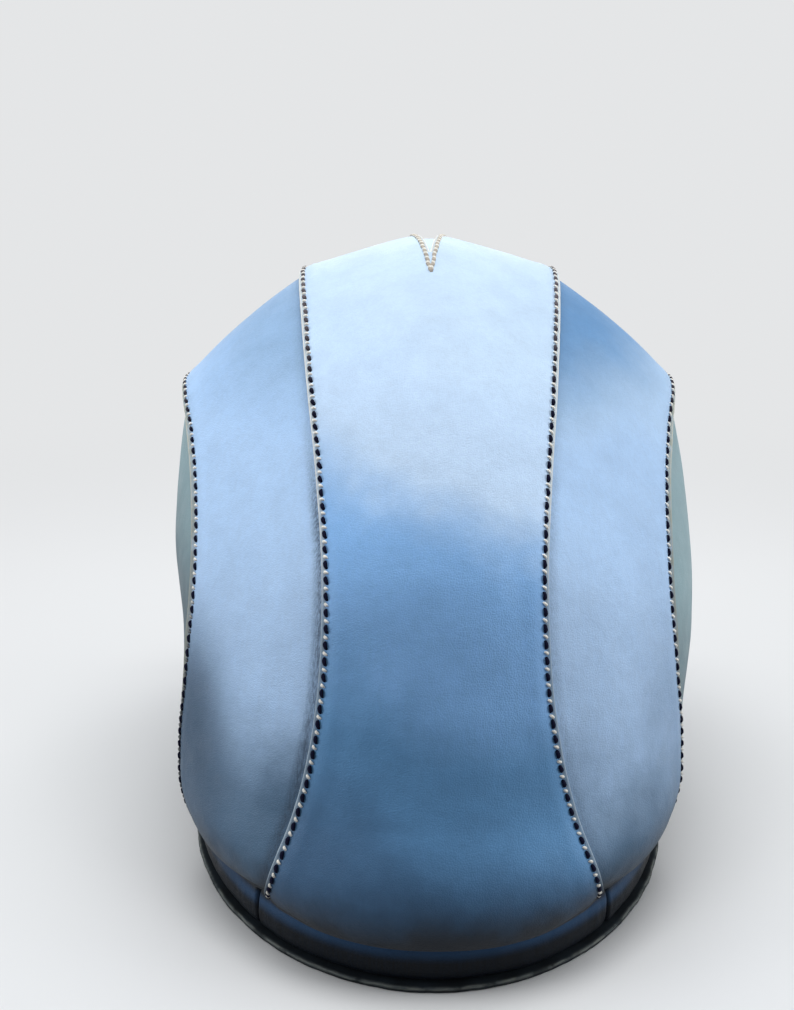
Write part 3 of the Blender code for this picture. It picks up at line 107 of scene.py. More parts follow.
# Fineness of the dressed panels
ROWS_PER_STITCH = 5
CENTRE_STEPS = 20
SIDE_STEPS = 24
EAR_RINGS = 26
# Distances from a stitch row where a panel has a column, inward and out to its cut edge
IN_STEPS = np.array([0.0100, 0.0075, 0.0055, 0.0040, 0.0030, 0.0023, 0.0018, 0.0014, 0.0010,
                     0.0007, 0.00035])
OUT_STEPS = np.array([0.0, 0.00035, 0.0007, 0.00105, 0.0014, 0.00165, 0.00185, 0.0020, 0.00212, 0.0022])

# Camera, as the photograph was taken
CAMERA_PLACE = (-0.0128, -0.4957, 0.285)
CAMERA_FALL = math.atan(398.0 / 1275.0)
CAMERA_LENS = 45.45


def chord_knots(points):
    """Running length along a row of points, from 0 to 1."""
    steps = np.linalg.norm(np.diff(points, axis=0), axis=1)
    knots = np.concatenate([[0.0], np.cumsum(steps)])
    return knots / knots[-1]


def hermite(points, knots, places):
    """Read a smooth curve through points at the given places along it."""
    points = np.asarray(points, float)
    slopes = np.gradient(points, knots, axis=0)
    places = np.atleast_1d(places)
    index = np.clip(np.searchsorted(knots, places, side="right") - 1, 0, len(knots) - 2)
    span = (knots[index + 1] - knots[index])[:, None]
    share = (places - knots[index])[:, None] / span
    leave, arrive = slopes[index] * span, slopes[index + 1] * span
    return ((2 * share**3 - 3 * share**2 + 1) * points[index] + (share**3 - 2 * share**2 + share) * leave
            + (3 * share**2 - 2 * share**3) * points[index + 1] + (share**3 - share**2) * arrive)


def smooth_points(points, count):
    """Evenly placed points on a smooth curve through the given ones."""
    points = np.asarray(points, float)
    dense = hermite(points, chord_knots(points), np.linspace(0.0, 1.0, 20 * count))
    return resample(dense, count)


def resample(points, count):
    """Points at even distances along a row of points."""
    knots = chord_knots(points)
    even = np.linspace(0.0, 1.0, count)
    return np.stack([np.interp(even, knots, points[:, axis]) for axis in range(3)], axis=1)


def unit(vector):
    """Scale vectors to length one."""
    return vector / np.maximum(np.linalg.norm(vector, axis=-1, keepdims=True), 1e-12)


def run_length(points):
    """Running length along a row of points, in metres."""
    return np.concatenate([[0.0], np.cumsum(np.linalg.norm(np.diff(points, axis=0), axis=1))])


def ramp(value, low, high):
    """Smooth step from 0 at low to 1 at high."""
    share = np.clip((np.asarray(value, float) - low) / (high - low), 0.0, 1.0)
    return share * share * (3.0 - 2.0 * share)


def hump(value, middle, width):
    """A bell around a middle value."""
    return np.exp(-(((np.asarray(value, float) - middle) / width) ** 2))


def waver(points, size, seed, octaves=2):
    """Smooth noise about zero at each point, for features of the given size."""
    flat = np.asarray(points, float).reshape(-1, 3)
    shift = Vector((seed * 7.31, seed * 3.17, seed * 5.73))
    values = [noise.fractal(Vector(point / size) + shift, 1.0, 2.0, octaves) for point in flat]
    return np.array(values).reshape(np.shape(points)[:-1])


# The skin

INNER_POINTS = np.array([row[0] for row in STATION_SHARES]) * BODY_SCALE
OUTER_POINTS = np.array([row[1] for row in STATION_SHARES]) * BODY_SCALE
SHAPE_POINTS = np.array([row[2:] for row in STATION_SHARES])
KNOTS = chord_knots((INNER_POINTS + OUTER_POINTS) / 2.0)
EAR_DOME = np.array(EAR_DOME_SHARES) * BODY_SCALE


def seam(points, place):
    """Points on a seam given by its stations."""
    return hermite(points, KNOTS, place)


def travel_direction(place):
    """Direction from nape to brow in the plane of symmetry."""
    step = 0.004
    direction = seam(INNER_POINTS, np.clip(place + step, 0, 1)) - seam(INNER_POINTS, np.clip(place - step, 0, 1))
    direction[:, 0] = 0.0
    return unit(direction)


def skin(place, column):
    """Points on the skin, for places from nape to brow and columns from -2 to 2."""
    place, column = np.broadcast_arrays(np.asarray(place, float), np.asarray(column, float))
    shape = place.shape
    place, column = place.ravel(), column.ravel()
    across = abs(column)
    inner, outer = seam(INNER_POINTS, place), seam(OUTER_POINTS, place)
    bulge, rise, power, dip = hermite(SHAPE_POINTS, KNOTS, place).T
    travel = travel_direction(place)
    up = unit(np.stack([0.0 * dip, -travel[:, 2], np.maximum(travel[:, 1], -dip)], axis=1))
    within = np.minimum(across, 1.0)
    low, high = RIDGE_SHARE**power, (1.0 + RIDGE_SHARE**2) ** (power / 2.0)
    fall = ((within**2 + RIDGE_SHARE**2) ** (power / 2.0) - low) / (high - low)
    centre = inner * np.stack([within, 1.0 + 0.0 * within, 1.0 + 0.0 * within], axis=1)
    centre = centre + up * (rise * inner[:, 0] * (1.0 - fall))[:, None]
    beyond = np.maximum(across - 1.0, 0.0)[:, None]
    chord = outer - inner
    swell = bulge[:, None] * np.linalg.norm(chord, axis=1, keepdims=True) * 4.0 * beyond * (1.0 - beyond)
    side = inner + chord * beyond + unit(np.cross(chord, travel)) * swell
    point = np.where((across <= 1.0)[:, None], centre, side)
    point[:, 0] *= np.where(column < 0.0, -1.0, 1.0)
    return point.reshape(*shape, 3)


def ear_skin(edge, ring, inner=None):
    """Points on the ear panel, between its highest point, ring 0, and points on its edge, ring 1.

    Where inner, a smoother loop, is given, the rings take its shape away from the edge.
    """
    edge, ring = np.asarray(edge, float), np.asarray(ring, float)[..., None]
    if inner is not None:
        edge = edge + (inner - edge) * (1.0 - ramp(ring, 0.40, 0.98))
    point = EAR_DOME + (edge - EAR_DOME) * ring
    point[..., :1] = edge[..., :1] + (EAR_DOME[0] - edge[..., :1]) * (1.0 - ring**2)
    return point


def smooth_loop(loop, share=0.030):
    """A closed loop with its corners rounded over a share of its length."""
    waves = np.fft.rfft(loop, axis=0)
    turns = 2.0 * math.pi * np.arange(len(waves)) * share
    return np.fft.irfft(waves * np.exp(-0.5 * turns[:, None] ** 2), len(loop), axis=0)


def ear_sink(grid, ring, side):
    """How far an ear panel and what lies under it draw in behind and below the ear."""
    low, high, depth = EAR_SINK[side]
    behind = 1.0 - ramp(grid[..., 1], -0.015, 0.030)
    return depth * behind * (1.0 - ring**2) * (1.0 - ramp(grid[..., 2], low, high))


def grid_normals(grid):
    """Outward directions of a grid whose columns run along +X and rows from nape to brow."""
    along, across = np.gradient(grid, axis=0), np.gradient(grid, axis=1)
    return unit(np.cross(across, along))


# Rows of the panels: even steps along the inner seam, a whole number to each stitch
FINE_PLACES = np.linspace(0.0, 1.0, 4000)
INNER_RUN = run_length(seam(INNER_POINTS, FINE_PLACES))
OUTER_RUN = run_length(seam(OUTER_POINTS, FINE_PLACES))
INNER_STITCHES = int(INNER_RUN[-1] / STITCH_PITCH)
OUTER_STITCHES = int(OUTER_RUN[-1] / STITCH_PITCH)
ROW_COUNT = INNER_STITCHES * ROWS_PER_STITCH + 1
PLACES = np.interp(np.linspace(0.0, INNER_RUN[-1], ROW_COUNT), INNER_RUN, FINE_PLACES)
HALF_WIDTH = seam(INNER_POINTS, PLACES)[:, 0]
SIDE_WIDTH = np.linalg.norm(seam(OUTER_POINTS, PLACES) - seam(INNER_POINTS, PLACES), axis=1)
MIDDLE_LINE = skin(PLACES, 0.0)

# Meshes


def mesh_from(name, points, faces, marks=None):
    """A smooth-shaded mesh object from points in the body's frame, with marks as vertex values."""
    mesh = bpy.data.meshes.new(name)
    mesh.from_pydata((np.asarray(points) + BODY_SHIFT).tolist(), [], [tuple(face) for face in faces])
    mesh.update()
    for mark, values in (marks or {}).items():
        attribute = mesh.attributes.new(mark, "FLOAT", "POINT")
        attribute.data.foreach_set("value", np.asarray(values, np.float32).ravel())
    mesh.shade_smooth()
    piece = bpy.data.objects.new(name, mesh)
    bpy.context.scene.collection.objects.link(piece)
    return piece


def settle(piece, finish, body, slot, *nodes):
    """Give a piece its finish, the body that it rides on and the nodes that it stands for."""
    piece.data.materials.clear()
    piece.data.materials.append(finish)
    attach(piece, body)
    if nodes:
        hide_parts(*nodes)
    return piece


def quads(rows, columns, start=0, cyclic_rows=False, cyclic_columns=False):
    """Faces of a grid of points, facing out where columns run along +X and rows from nape to brow."""
    row = np.arange(rows if cyclic_rows else rows - 1)[:, None]
    column = np.arange(columns if cyclic_columns else columns - 1)[None]
    here, right = row * columns + column, row * columns + (column + 1) % columns
    above = (row + 1) % rows * columns + column
    beyond = (row + 1) % rows * columns + (column + 1) % columns
    faces = np.stack([here, right, beyond, above], axis=-1).reshape(-1, 4) + start
    return faces.tolist()


def loft(rings, caps=True, start=0):
    """Points and faces of a closed tube through rings of points."""
    rings = np.asarray(rings, float)
    count, size = rings.shape[:2]
    faces = quads(count, size, start, cyclic_columns=True)
    if caps:
        faces.append([start + index for index in range(size)][::-1])
        faces.append([start + (count - 1) * size + index for index in range(size)])
    return rings.reshape(-1, 3), faces


def face_out(piece):
    """Turn a closed piece's faces outward."""
    work = bmesh.new()
    work.from_mesh(piece.data)
    bmesh.ops.recalc_face_normals(work, faces=work.faces)
    work.to_mesh(piece.data)
    work.free()
    piece.data.shade_smooth()
    return piece


def mirror_piece(piece, name):
    """A mirror image of a piece."""
    mesh = piece.data.copy()
    other = bpy.data.objects.new(name, mesh)
    bpy.context.scene.collection.objects.link(other)
    points = np.zeros(len(mesh.vertices) * 3)
    mesh.vertices.foreach_get("co", points)
    points = points.reshape(-1, 3) * FLIP
    mesh.vertices.foreach_set("co", points.ravel())
    mesh.flip_normals()
    mesh.update()
    mesh.shade_smooth()
    return other


def shell_between(name, top, bottom, marks, open_rows=None):
    """A closed sheet from its outer and inner grids. Where open_rows is set, the first column has no wall."""
    rows, columns = top.shape[:2]
    count = rows * columns
    faces = quads(rows, columns)
    faces += [[index + count for index in face[::-1]] for face in quads(rows, columns)]
    for row in range(rows - 1):
        here, there = row * columns, (row + 1) * columns
        last, beyond = here + columns - 1, there + columns - 1
        faces.append([last, last + count, beyond + count, beyond])
        if open_rows is None or not open_rows[row]:
            faces.append([there, there + count, here + count, here])
    for column in range(columns - 1):
        faces.append([column + 1, column, column + count, column + 1 + count])
        end = (rows - 1) * columns + column
        faces.append([end, end + 1, end + 1 + count, end + count])
    points = np.concatenate([top.reshape(-1, 3), bottom.reshape(-1, 3)])
    doubled = {mark: np.concatenate([values.ravel(), values.ravel()]) for mark, values in marks.items()}
    return mesh_from(name, points, faces, doubled)


def rounding(distance, radius=0.00055):
    """How far a sheet's face drops at a distance from its cut edge."""
    inside = np.clip(distance / radius, 0.0, 1.0)
    return radius * (1.0 - np.sqrt(np.maximum(1.0 - (1.0 - inside) ** 2, 0.0)))


def curl_foot(grid, radius=0.0021, turn=math.radians(84.0), steps=6):
    """Add rows below the first one that curl the sheet in over the neck roll."""
    run = run_length(grid[0])
    reach = 0.005
    ends = [np.stack([np.interp(run + shift, run, grid[0][:, axis]) for axis in range(2)], axis=1)
            for shift in (-reach, reach)]
    along = unit(ends[1] - ends[0])
    outward = np.stack([along[:, 1], -along[:, 0], 0.0 * run], axis=1)
    rows = []
    for step in range(steps, 0, -1):
        angle = turn * step / steps
        drop = np.array([0.0, 0.0, -radius * math.sin(angle)])
        rows.append(grid[0] - outward * radius * (1.0 - math.cos(angle)) + drop)
    return np.concatenate([np.array(rows), grid])


def stitch_dent(run, distance, count_run, stitches):
    """How deep the thread pulls the leather in, along and beside a stitch row."""
    pulse = 0.5 + 0.5 * np.cos(2.0 * math.pi * (run / count_run * stitches - 0.5))
    return -0.00034 * hump(distance, 0.0, 0.0010) * (0.45 + 0.55 * pulse)


# Panels


def crown_columns():
    """Columns of the right half of the crown panel, for every row, and distances from its edges."""
    middle_y = MIDDLE_LINE[:, 1]
    upper = MIDDLE_LINE[:, 2] > BODY_HEIGHT / 2.0
    slope = DART_HALF_WIDTH_AT_BROW / (MIDDLE_LINE[-1, 1] - DART_APEX_Y)
    stitch_half = np.where(upper, (middle_y - DART_APEX_Y) * slope, -1.0)
    cut_half = np.maximum(stitch_half - DART_CUT_INSET, 0.0)
    start = cut_half / HALF_WIDTH
    near = OUT_STEPS.max() - OUT_STEPS[::-1]
    near = np.concatenate([near, 0.0022 + np.array([0.0005, 0.0012, 0.0022, 0.0036, 0.0055])])
    columns = [start + step / HALF_WIDTH for step in near]
    first, last = columns[-1], 1.0 - IN_STEPS[0] / HALF_WIDTH
    columns += [first + (last - first) * step / CENTRE_STEPS for step in range(1, CENTRE_STEPS)]
    columns += [1.0 - step / HALF_WIDTH for step in IN_STEPS]
    columns += [1.0 + step / SIDE_WIDTH for step in OUT_STEPS]
    return np.stack(columns, axis=1), cut_half, stitch_half


def edge_waver(seed):
    """How far a hand-cut edge strays from its line, row by row."""
    line = np.stack([np.linspace(0.0, INNER_RUN[-1], ROW_COUNT), 0.0 * PLACES, 0.0 * PLACES], axis=1)
    return 0.00022 * waver(line, 0.012, seed) + 0.00012 * waver(line, 0.004, seed + 5)


def side_distance(column):
    """Signed distance from the inner stitch row, positive outboard."""
    column = abs(column)
    return np.where(column < 1.0, (column - 1.0) * HALF_WIDTH[:, None],
                    (column - 1.0) * SIDE_WIDTH[:, None])


def body_relief(grid, seed):
    """The slow swells and dips that soft leather has over its padding."""
    return 0.00045 * waver(grid, 0.060, seed, 1) + 0.00012 * waver(grid, 0.018, seed + 3, 2)


def make_crown_panel():
    """The wide centre strip with the V cut into its crown, as two halves that meet along its middle."""
    halves = []
    for side in (1.0, -1.0):
        column, cut_half, stitch_half = crown_columns()
        stray = edge_waver(11 if side > 0.0 else 12)
        margin = np.clip(side_distance(column) / SEAM_ALLOWANCE, 0.0, 1.0)
        column = column + margin * stray[:, None] / SIDE_WIDTH[:, None]
        grid = skin(PLACES[:, None], column)
        distance = side_distance(column)
        run = np.linspace(0.0, INNER_RUN[-1], ROW_COUNT)[:, None]
        relief = stitch_dent(run, distance, INNER_RUN[-1], INNER_STITCHES)
        relief = relief + 0.00030 * hump(distance, -0.0042, 0.0024)
        relief = relief + 0.00010 * hump(distance, 0.0013, 0.0006)
        from_cut = column * HALF_WIDTH[:, None] - cut_half[:, None]
        beside_dart = column * HALF_WIDTH[:, None] - stitch_half[:, None]
        dart_on = ramp(stitch_half, -0.0005, 0.0020)[:, None]
        dart_run = run_length(MIDDLE_LINE)[:, None]
        pulse = 0.5 + 0.5 * np.cos(2.0 * math.pi * dart_run / STITCH_PITCH)
        relief = relief - 0.00030 * dart_on * hump(beside_dart, 0.0, 0.0010) * (0.45 + 0.55 * pulse)
        relief = relief + gathers(grid * [side, 1.0, 1.0], distance, side)
        opened = (cut_half > 0.0)[:, None]
        drop = rounding(np.maximum(SEAM_ALLOWANCE - distance, 0.0))
        drop = drop + np.where(opened, rounding(np.maximum(from_cut, 0.0)), 0.0)
        edge = ramp(distance, 0.0014, 0.0020)
        edge = np.maximum(edge, np.where(opened, 1.0 - ramp(from_cut, 0.0002, 0.0008), 0.0))
        lip = ramp(distance, 0.0001, 0.0006)
        lip = np.maximum(lip, np.where(opened, 1.0 - ramp(from_cut, 0.0014, 0.0019), 0.0))
        grid = grid * [side, 1.0, 1.0]
        halves.append((grid, relief, drop, edge, lip, cut_half))
    pieces = []
    for side, (grid, relief, drop, edge, lip, cut_half) in zip((1.0, -1.0), halves):
        grid = curl_foot(grid if side > 0.0 else grid[:, ::-1])
        pad = len(grid) - ROW_COUNT
        order = slice(None) if side > 0.0 else slice(None, None, -1)
        fields = [np.concatenate([np.repeat(field[:1], pad, axis=0), field])[:, order]
                  for field in (relief, drop, edge, lip)]
        relief, drop, edge, lip = fields
        normals = grid_normals(grid)
        middle = 0 if side > 0.0 else -1
        normals[:, middle] = unit(normals[:, middle] * [0.0, 1.0, 1.0])
        relief = relief + body_relief(grid, 1)
        top = grid + normals * (relief - drop)[..., None]
        bottom = grid + normals * (relief - LEATHER + 0.5 * drop)[..., None]
        closed = np.concatenate([np.zeros(pad), cut_half]) > 0.0
        if side < 0.0:
            top, bottom = top[:, ::-1], bottom[:, ::-1]
            edge, lip = edge[:, ::-1], lip[:, ::-1]
        piece = shell_between("crown_half", top, bottom, {"edge": edge, "lip": lip}, ~closed[:-1])
        pieces.append(piece)
    return weld_halves("crown_panel_leather", pieces)


def weld_halves(name, pieces):
    """Join two halves whose middle points coincide."""
    work = bmesh.new()
    for piece in pieces:
        work.from_mesh(piece.data)
        bpy.data.objects.remove(piece, do_unlink=True)
    bmesh.ops.remove_doubles(work, verts=work.verts, dist=1e-6)
    bmesh.ops.recalc_face_normals(work, faces=work.faces)
    mesh = bpy.data.meshes.new(name)
    work.to_mesh(mesh)
    work.free()
    mesh.shade_smooth()
    whole = bpy.data.objects.new(name, mesh)
    bpy.context.scene.collection.objects.link(whole)
    return whole


def gathers(grid, distance, side):
    """Fine wrinkles that the left seam draws into the crown panel, and fainter ones on the right."""
    strength = 1.0 if side < 0.0 else 0.35
    band = hump(distance, -0.0065, 0.0040) * (distance < 0.0)
    height = ramp(grid[..., 2], 0.150, 0.185)
    ripple = np.sin(distance / 0.0017 * math.pi + 2.2 * waver(grid, 0.020, 21) + grid[..., 1] / 0.012)
    return 0.00010 * strength * band * height * ripple


def make_side_panel(side):
    """A strip between the inner and the outer seam, under the crown panel and over the ear panel."""
    under = [1.0 - UNDERLAP * step / HALF_WIDTH for step in (1.0, 0.6, 0.3)]
    near = [1.0 + step / SIDE_WIDTH for step in (0.0, 0.0007, 0.0014, 0.0019, 0.0023, 0.0028, 0.0035,
                                                  0.0045, 0.0060, 0.0080)]
    first, last = near[-1], 2.0 - IN_STEPS[0] / SIDE_WIDTH
    middle = [first + (last - first) * step / SIDE_STEPS for step in range(1, SIDE_STEPS)]
    inside = [2.0 - step / SIDE_WIDTH for step in IN_STEPS] + [2.0 + 0.0 * SIDE_WIDTH]
    column = np.stack(under + near + middle + inside, axis=1)
    grid = skin(PLACES[:, None], column)
    edge_line = seam(OUTER_POINTS, PLACES)
    reach = np.linalg.norm(edge_line - EAR_DOME, axis=1)
    stray = edge_waver(13 if side > 0.0 else 14)
    beyond = []
    onward = unit(edge_line - skin(PLACES, 2.0 - 0.004 / SIDE_WIDTH))
    onward = unit(onward * [1.0, 1.0, 0.25])
    raised = ramp(edge_line[:, 2], 0.060, 0.110)
    eased = 1.0 - ramp(edge_line[:, 2], 0.162, 0.180)
    lift = (MARGIN_LIFT * raised * (0.55 + 0.45 * eased))[:, None]
    for step in OUT_STEPS[1:]:
        distance = (1.0 + MARGIN_EXTRA * raised * eased) * step + step / SEAM_ALLOWANCE * stray
        lying = ear_skin(edge_line, 1.0 - distance / reach)
        beyond.append(lying + lift * (edge_line + onward * distance[:, None] - lying))
    grid = np.concatenate([grid, np.stack(beyond, axis=1)], axis=1)
    inboard = (column - 2.0) * SIDE_WIDTH[:, None]
    distance = np.concatenate([inboard, np.tile(OUT_STEPS[1:], (ROW_COUNT, 1))], axis=1)
    run = np.interp(PLACES, FINE_PLACES, OUTER_RUN)[:, None]
    relief = stitch_dent(run, distance, OUTER_RUN[-1], OUTER_STITCHES)
    relief = relief + 0.00030 * hump(distance, -0.0042, 0.0024)
    from_inner = np.concatenate([side_distance(column), np.full((ROW_COUNT, len(OUT_STEPS) - 1), 1.0)], axis=1)
    relief = relief - 0.00045 * hump(from_inner, 0.0, 0.0012)
    relief = relief + side_gathers(grid * [side, 1.0, 1.0], from_inner, side)
    drop = rounding(np.maximum(SEAM_ALLOWANCE - distance, 0.0))
    marks = {"edge": ramp(distance, 0.0014, 0.0020), "lip": ramp(distance, 0.0001, 0.0006)}
    low_share = 0.25 + 0.75 * (1.0 - ramp(grid[..., 2], 0.150, 0.180))
    marks["shade"] = hump(from_inner, 0.0042, 0.0026) * low_share * (1.0 if side < 0.0 else 0.40)
    fields = {"relief": relief, "drop": drop, **marks}
    grid = curl_foot(grid)
    pad = len(grid) - ROW_COUNT
    fields = {key: np.concatenate([np.repeat(field[:1], pad, axis=0), field]) for key, field in fields.items()}
    normals = grid_normals(grid)
    relief = fields["relief"] + body_relief(grid * [side, 1.0, 1.0], 2)
    top = grid + normals * (SIDE_LEVEL + relief - fields["drop"])[..., None]
    bottom = grid + normals * (SIDE_LEVEL + relief - LEATHER + 0.5 * fields["drop"])[..., None]
    name = "side_panel_leather_" + ("right" if side > 0.0 else "left")
    piece = shell_between(name, top * [side, 1.0, 1.0], bottom * [side, 1.0, 1.0],
                          {key: fields[key] for key in marks})
    return face_out(piece)


def side_gathers(grid, distance, side):
    """Upright streaks where the side panel is drawn in under the crown panel's edge."""
    strength = 1.0 if side < 0.0 else 0.4
    band = hump(distance, 0.0050, 0.0038) * (distance > 0.0) * (distance < 0.5)
    height = ramp(grid[..., 2], 0.050, 0.075) * (1.0 - ramp(grid[..., 2], 0.125, 0.150))
    ripple = np.sin(distance / 0.0013 * math.pi + 2.5 * waver(grid, 0.022, 31))
    return 0.00011 * strength * band * height * ripple


def ear_edge(count):
    """The ear panel's closed edge: up the outer seam, down the front and back along the bottom."""
    along = run_length(seam(OUTER_POINTS, FINE_PLACES))
    places = np.interp(np.linspace(0.0, along[-1], count), along, FINE_PLACES)
    line = seam(OUTER_POINTS, places)
    front = smooth_points(np.array(EAR_FRONT_SHARES) * BODY_SCALE, count // 3)
    bottom = smooth_points(np.array(EAR_BOTTOM_SHARES) * BODY_SCALE, count // 3)
    return places, np.concatenate([line, front[1:], bottom[1:-1]])


def make_ear_panel(side):
    """The moulded panel that bulges over the ear."""
    places, edge = ear_edge(220)
    count = len(edge)
    lap = edge.copy()
    lap[: len(places)] = skin(places, 1.88)
    away = unit((edge - EAR_DOME) * [0.0, 1.0, 1.0])
    lap[len(places):] = edge[len(places):] + away[len(places):] * 0.0004
    reach = np.linalg.norm(edge - EAR_DOME, axis=1)
    inner = smooth_loop(edge)
    rings = [edge + (lap - edge) * share for share in (1.0, 0.66, 0.33)]
    ring_values = [1.0 + 0.0 * reach] * 3
    for distance in (0.0, 0.0006, 0.0012, 0.0018, 0.0023, 0.0030, 0.0040, 0.0055):
        ring_values.append(1.0 - distance / reach)
        rings.append(ear_skin(edge, ring_values[-1], inner))
    start = ring_values[-1]
    for step in range(1, EAR_RINGS):
        ring_values.append(start * (1.0 - step / EAR_RINGS))
        rings.append(ear_skin(edge, ring_values[-1], inner))
    grid, ring = np.array(rings), np.array(ring_values)
    wrapped = np.concatenate([grid[:, -1:], grid, grid[:, :1]], axis=1)
    normals = grid_normals(wrapped)[:, 1:-1]
    normals = normals * np.sign(normals[len(rings) // 2, 0, 0])
    fuller = 0.0013 if side > 0.0 else -0.0022
    sided = grid * [side, 1.0, 1.0]
    relief = body_relief(sided, 4) + fuller * (1.0 - ring**2)
    relief = relief + 0.0006 * waver(sided, 0.045, 6, 1) * ramp(1.0 - ring, 0.05, 0.3)
    relief = relief - ear_sink(grid, ring, side)
    seam_share = np.zeros(count)
    seam_share[: len(places)] = 1.0
    distance = (1.0 - ring) * reach[None]
    marks = {"shade": hump(distance, 0.0022, 0.0016) * seam_share[None]}
    levels = (EAR_LEVEL + relief)[..., None]
    pole = EAR_DOME + np.array([EAR_LEVEL + float(relief[-1].mean()), 0.0, 0.0])
    name = "ear_panel_leather_" + ("right" if side > 0.0 else "left")
    return disc_between(name, grid + normals * levels, grid + normals * (levels - LEATHER),
                        [pole, pole - [LEATHER, 0.0, 0.0]], marks, side)


def disc_between(name, top, bottom, poles, marks, side):
    """A closed round sheet from rings of points, outermost first, and its two middle points."""
    rings, count = top.shape[:2]
    size = rings * count
    faces = quads(rings, count, cyclic_columns=True)
    faces += [[index + size for index in face[::-1]] for face in faces]
    last = size - count
    for index in range(count):
        following = (index + 1) % count
        faces.append([following, index, size + index, size + following])
        faces.append([last + index, last + following, 2 * size])
        faces.append([size + last + following, size + last + index, 2 * size + 1])
    points = np.concatenate([top.reshape(-1, 3), bottom.reshape(-1, 3), poles])
    doubled = {mark: np.concatenate([values.ravel(), values.ravel(), [0.0, 0.0]])
               for mark, values in marks.items()}
    return face_out(mesh_from(name, points * [side, 1.0, 1.0], faces, doubled))


def make_gusset():
    """The narrow V under the cut in the crown panel."""
    column, cut_half, stitch_half = crown_columns()
    rows = stitch_half > -0.002
    places, half = PLACES[rows], (stitch_half[rows] + UNDERLAP - DART_CUT_INSET) / HALF_WIDTH[rows]
    grid = skin(places[:, None], half[:, None] * np.linspace(-1.0, 1.0, 25)[None])
    normals = grid_normals(grid)
    relief = body_relief(grid, 8) + 0.00025
    top, bottom = grid + normals * (SIDE_LEVEL + relief)[..., None], grid + normals * (SIDE_LEVEL + relief - LEATHER)[..., None]
    flat = np.zeros(grid.shape[:2])
    return face_out(shell_between("crown_gusset_leather", top, bottom, {"edge": flat, "lip": flat}))


# Stitches


def thread_loop(length, width, height, sink, sides=10, steps=9):
    """Points and faces of one twisted stitch along X, bowed out of the leather along Z."""
    along = np.linspace(-1.0, 1.0, steps)
    rings = []
    for place in along:
        girth = max(1.0 - abs(place) ** 3.2, 0.0) ** 0.5 * 0.94 + 0.06
        lift = height * (0.5 - 0.5 * abs(place) ** 3) - sink * abs(place) ** 3
        angles = np.linspace(0.0, 2.0 * math.pi, sides, endpoint=False)
        strand = 1.0 + 0.10 * np.cos(2.0 * (angles - 2.4 * place))
        rings.append(np.stack([np.full(sides, place * length / 2.0),
                               width / 2.0 * girth * strand * np.cos(angles),
                               lift + height / 2.0 * girth * strand * np.sin(angles)], axis=1))
    return loft(rings)


def sew(name, points, tangents, normals, shape, tilt, seed):
    """Set one stitch at each place, tilted against the row, with small hand-made differences."""
    verts, faces = shape
    random = np.random.default_rng(seed)
    all_points, all_faces = [], []
    for index, (point, tangent, normal) in enumerate(zip(points, tangents, normals)):
        beside = np.cross(normal, tangent)
        angle = tilt + random.normal(0.0, 0.06)
        forward = tangent * math.cos(angle) + beside * math.sin(angle)
        across = np.cross(normal, forward)
        stretch = 1.0 + random.normal(0.0, 0.04)
        middle = point + beside * random.normal(0.0, 0.00008)
        placed = middle + verts[:, :1] * stretch * forward + verts[:, 1:2] * across + verts[:, 2:] * normal
        all_points.append(placed)
        all_faces += [[vertex + index * len(verts) for vertex in face] for face in faces]
    return face_out(mesh_from(name, np.concatenate(all_points), all_faces))


STITCH = thread_loop(0.0034, 0.00150, 0.00090, 0.0004)
KNOT = thread_loop(0.0022, 0.00105, 0.00085, 0.0003, 8, 7)
STITCH_TILT = {-1.0: math.radians(15.0), 1.0: math.radians(4.0)}
KNOT_TILT = {-1.0: math.radians(58.0), 1.0: math.radians(50.0)}


def sew_row(name, line, normals, pitch_run, stitches, side, seed):
    """A row of dark stitches, with a pale loop of the under thread between each pair."""
    run = run_length(line)
    made = []
    for shift, shape, tilt, label in ((0.5, STITCH, STITCH_TILT, "stitches"), (1.0, KNOT, KNOT_TILT, "loops")):
        count = stitches if shift < 1.0 else stitches - 1
        at = (np.arange(count) + shift) * pitch_run / stitches
        point = np.stack([np.interp(at, run, line[:, axis]) for axis in range(3)], axis=1)
        normal = unit(np.stack([np.interp(at, run, normals[:, axis]) for axis in range(3)], axis=1))
        ahead = np.stack([np.interp(at + 0.0005, run, line[:, axis]) for axis in range(3)], axis=1)
        behind = np.stack([np.interp(at - 0.0005, run, line[:, axis]) for axis in range(3)], axis=1)
        tangent = unit(ahead - behind)
        tangent = unit(tangent - normal * (tangent * normal).sum(axis=1, keepdims=True))
        made.append(sew(name + "_" + label, point, tangent, normal, shape, tilt[side], seed))
    return made


def seam_rows():
    """Lines and normals of the inner and the outer stitch row on the right, on top of the leather."""
    step = 0.0015
    rows = {}
    near = skin(PLACES[:, None], np.stack([1.0 - step / HALF_WIDTH, 1.0 + 0.0 * HALF_WIDTH,
                                           1.0 + step / SIDE_WIDTH], axis=1))
    rows["inner"] = (near[:, 1], grid_normals(near)[:, 1], 0.0)
    edge = seam(OUTER_POINTS, PLACES)
    reach = np.linalg.norm(edge - EAR_DOME, axis=1)
    inside = skin(PLACES, 2.0 - step / SIDE_WIDTH)
    wide = np.stack([inside, edge, ear_skin(edge, 1.0 - step / reach)], axis=1)
    rows["outer"] = (edge, grid_normals(wide)[:, 1], SIDE_LEVEL)
    return rows


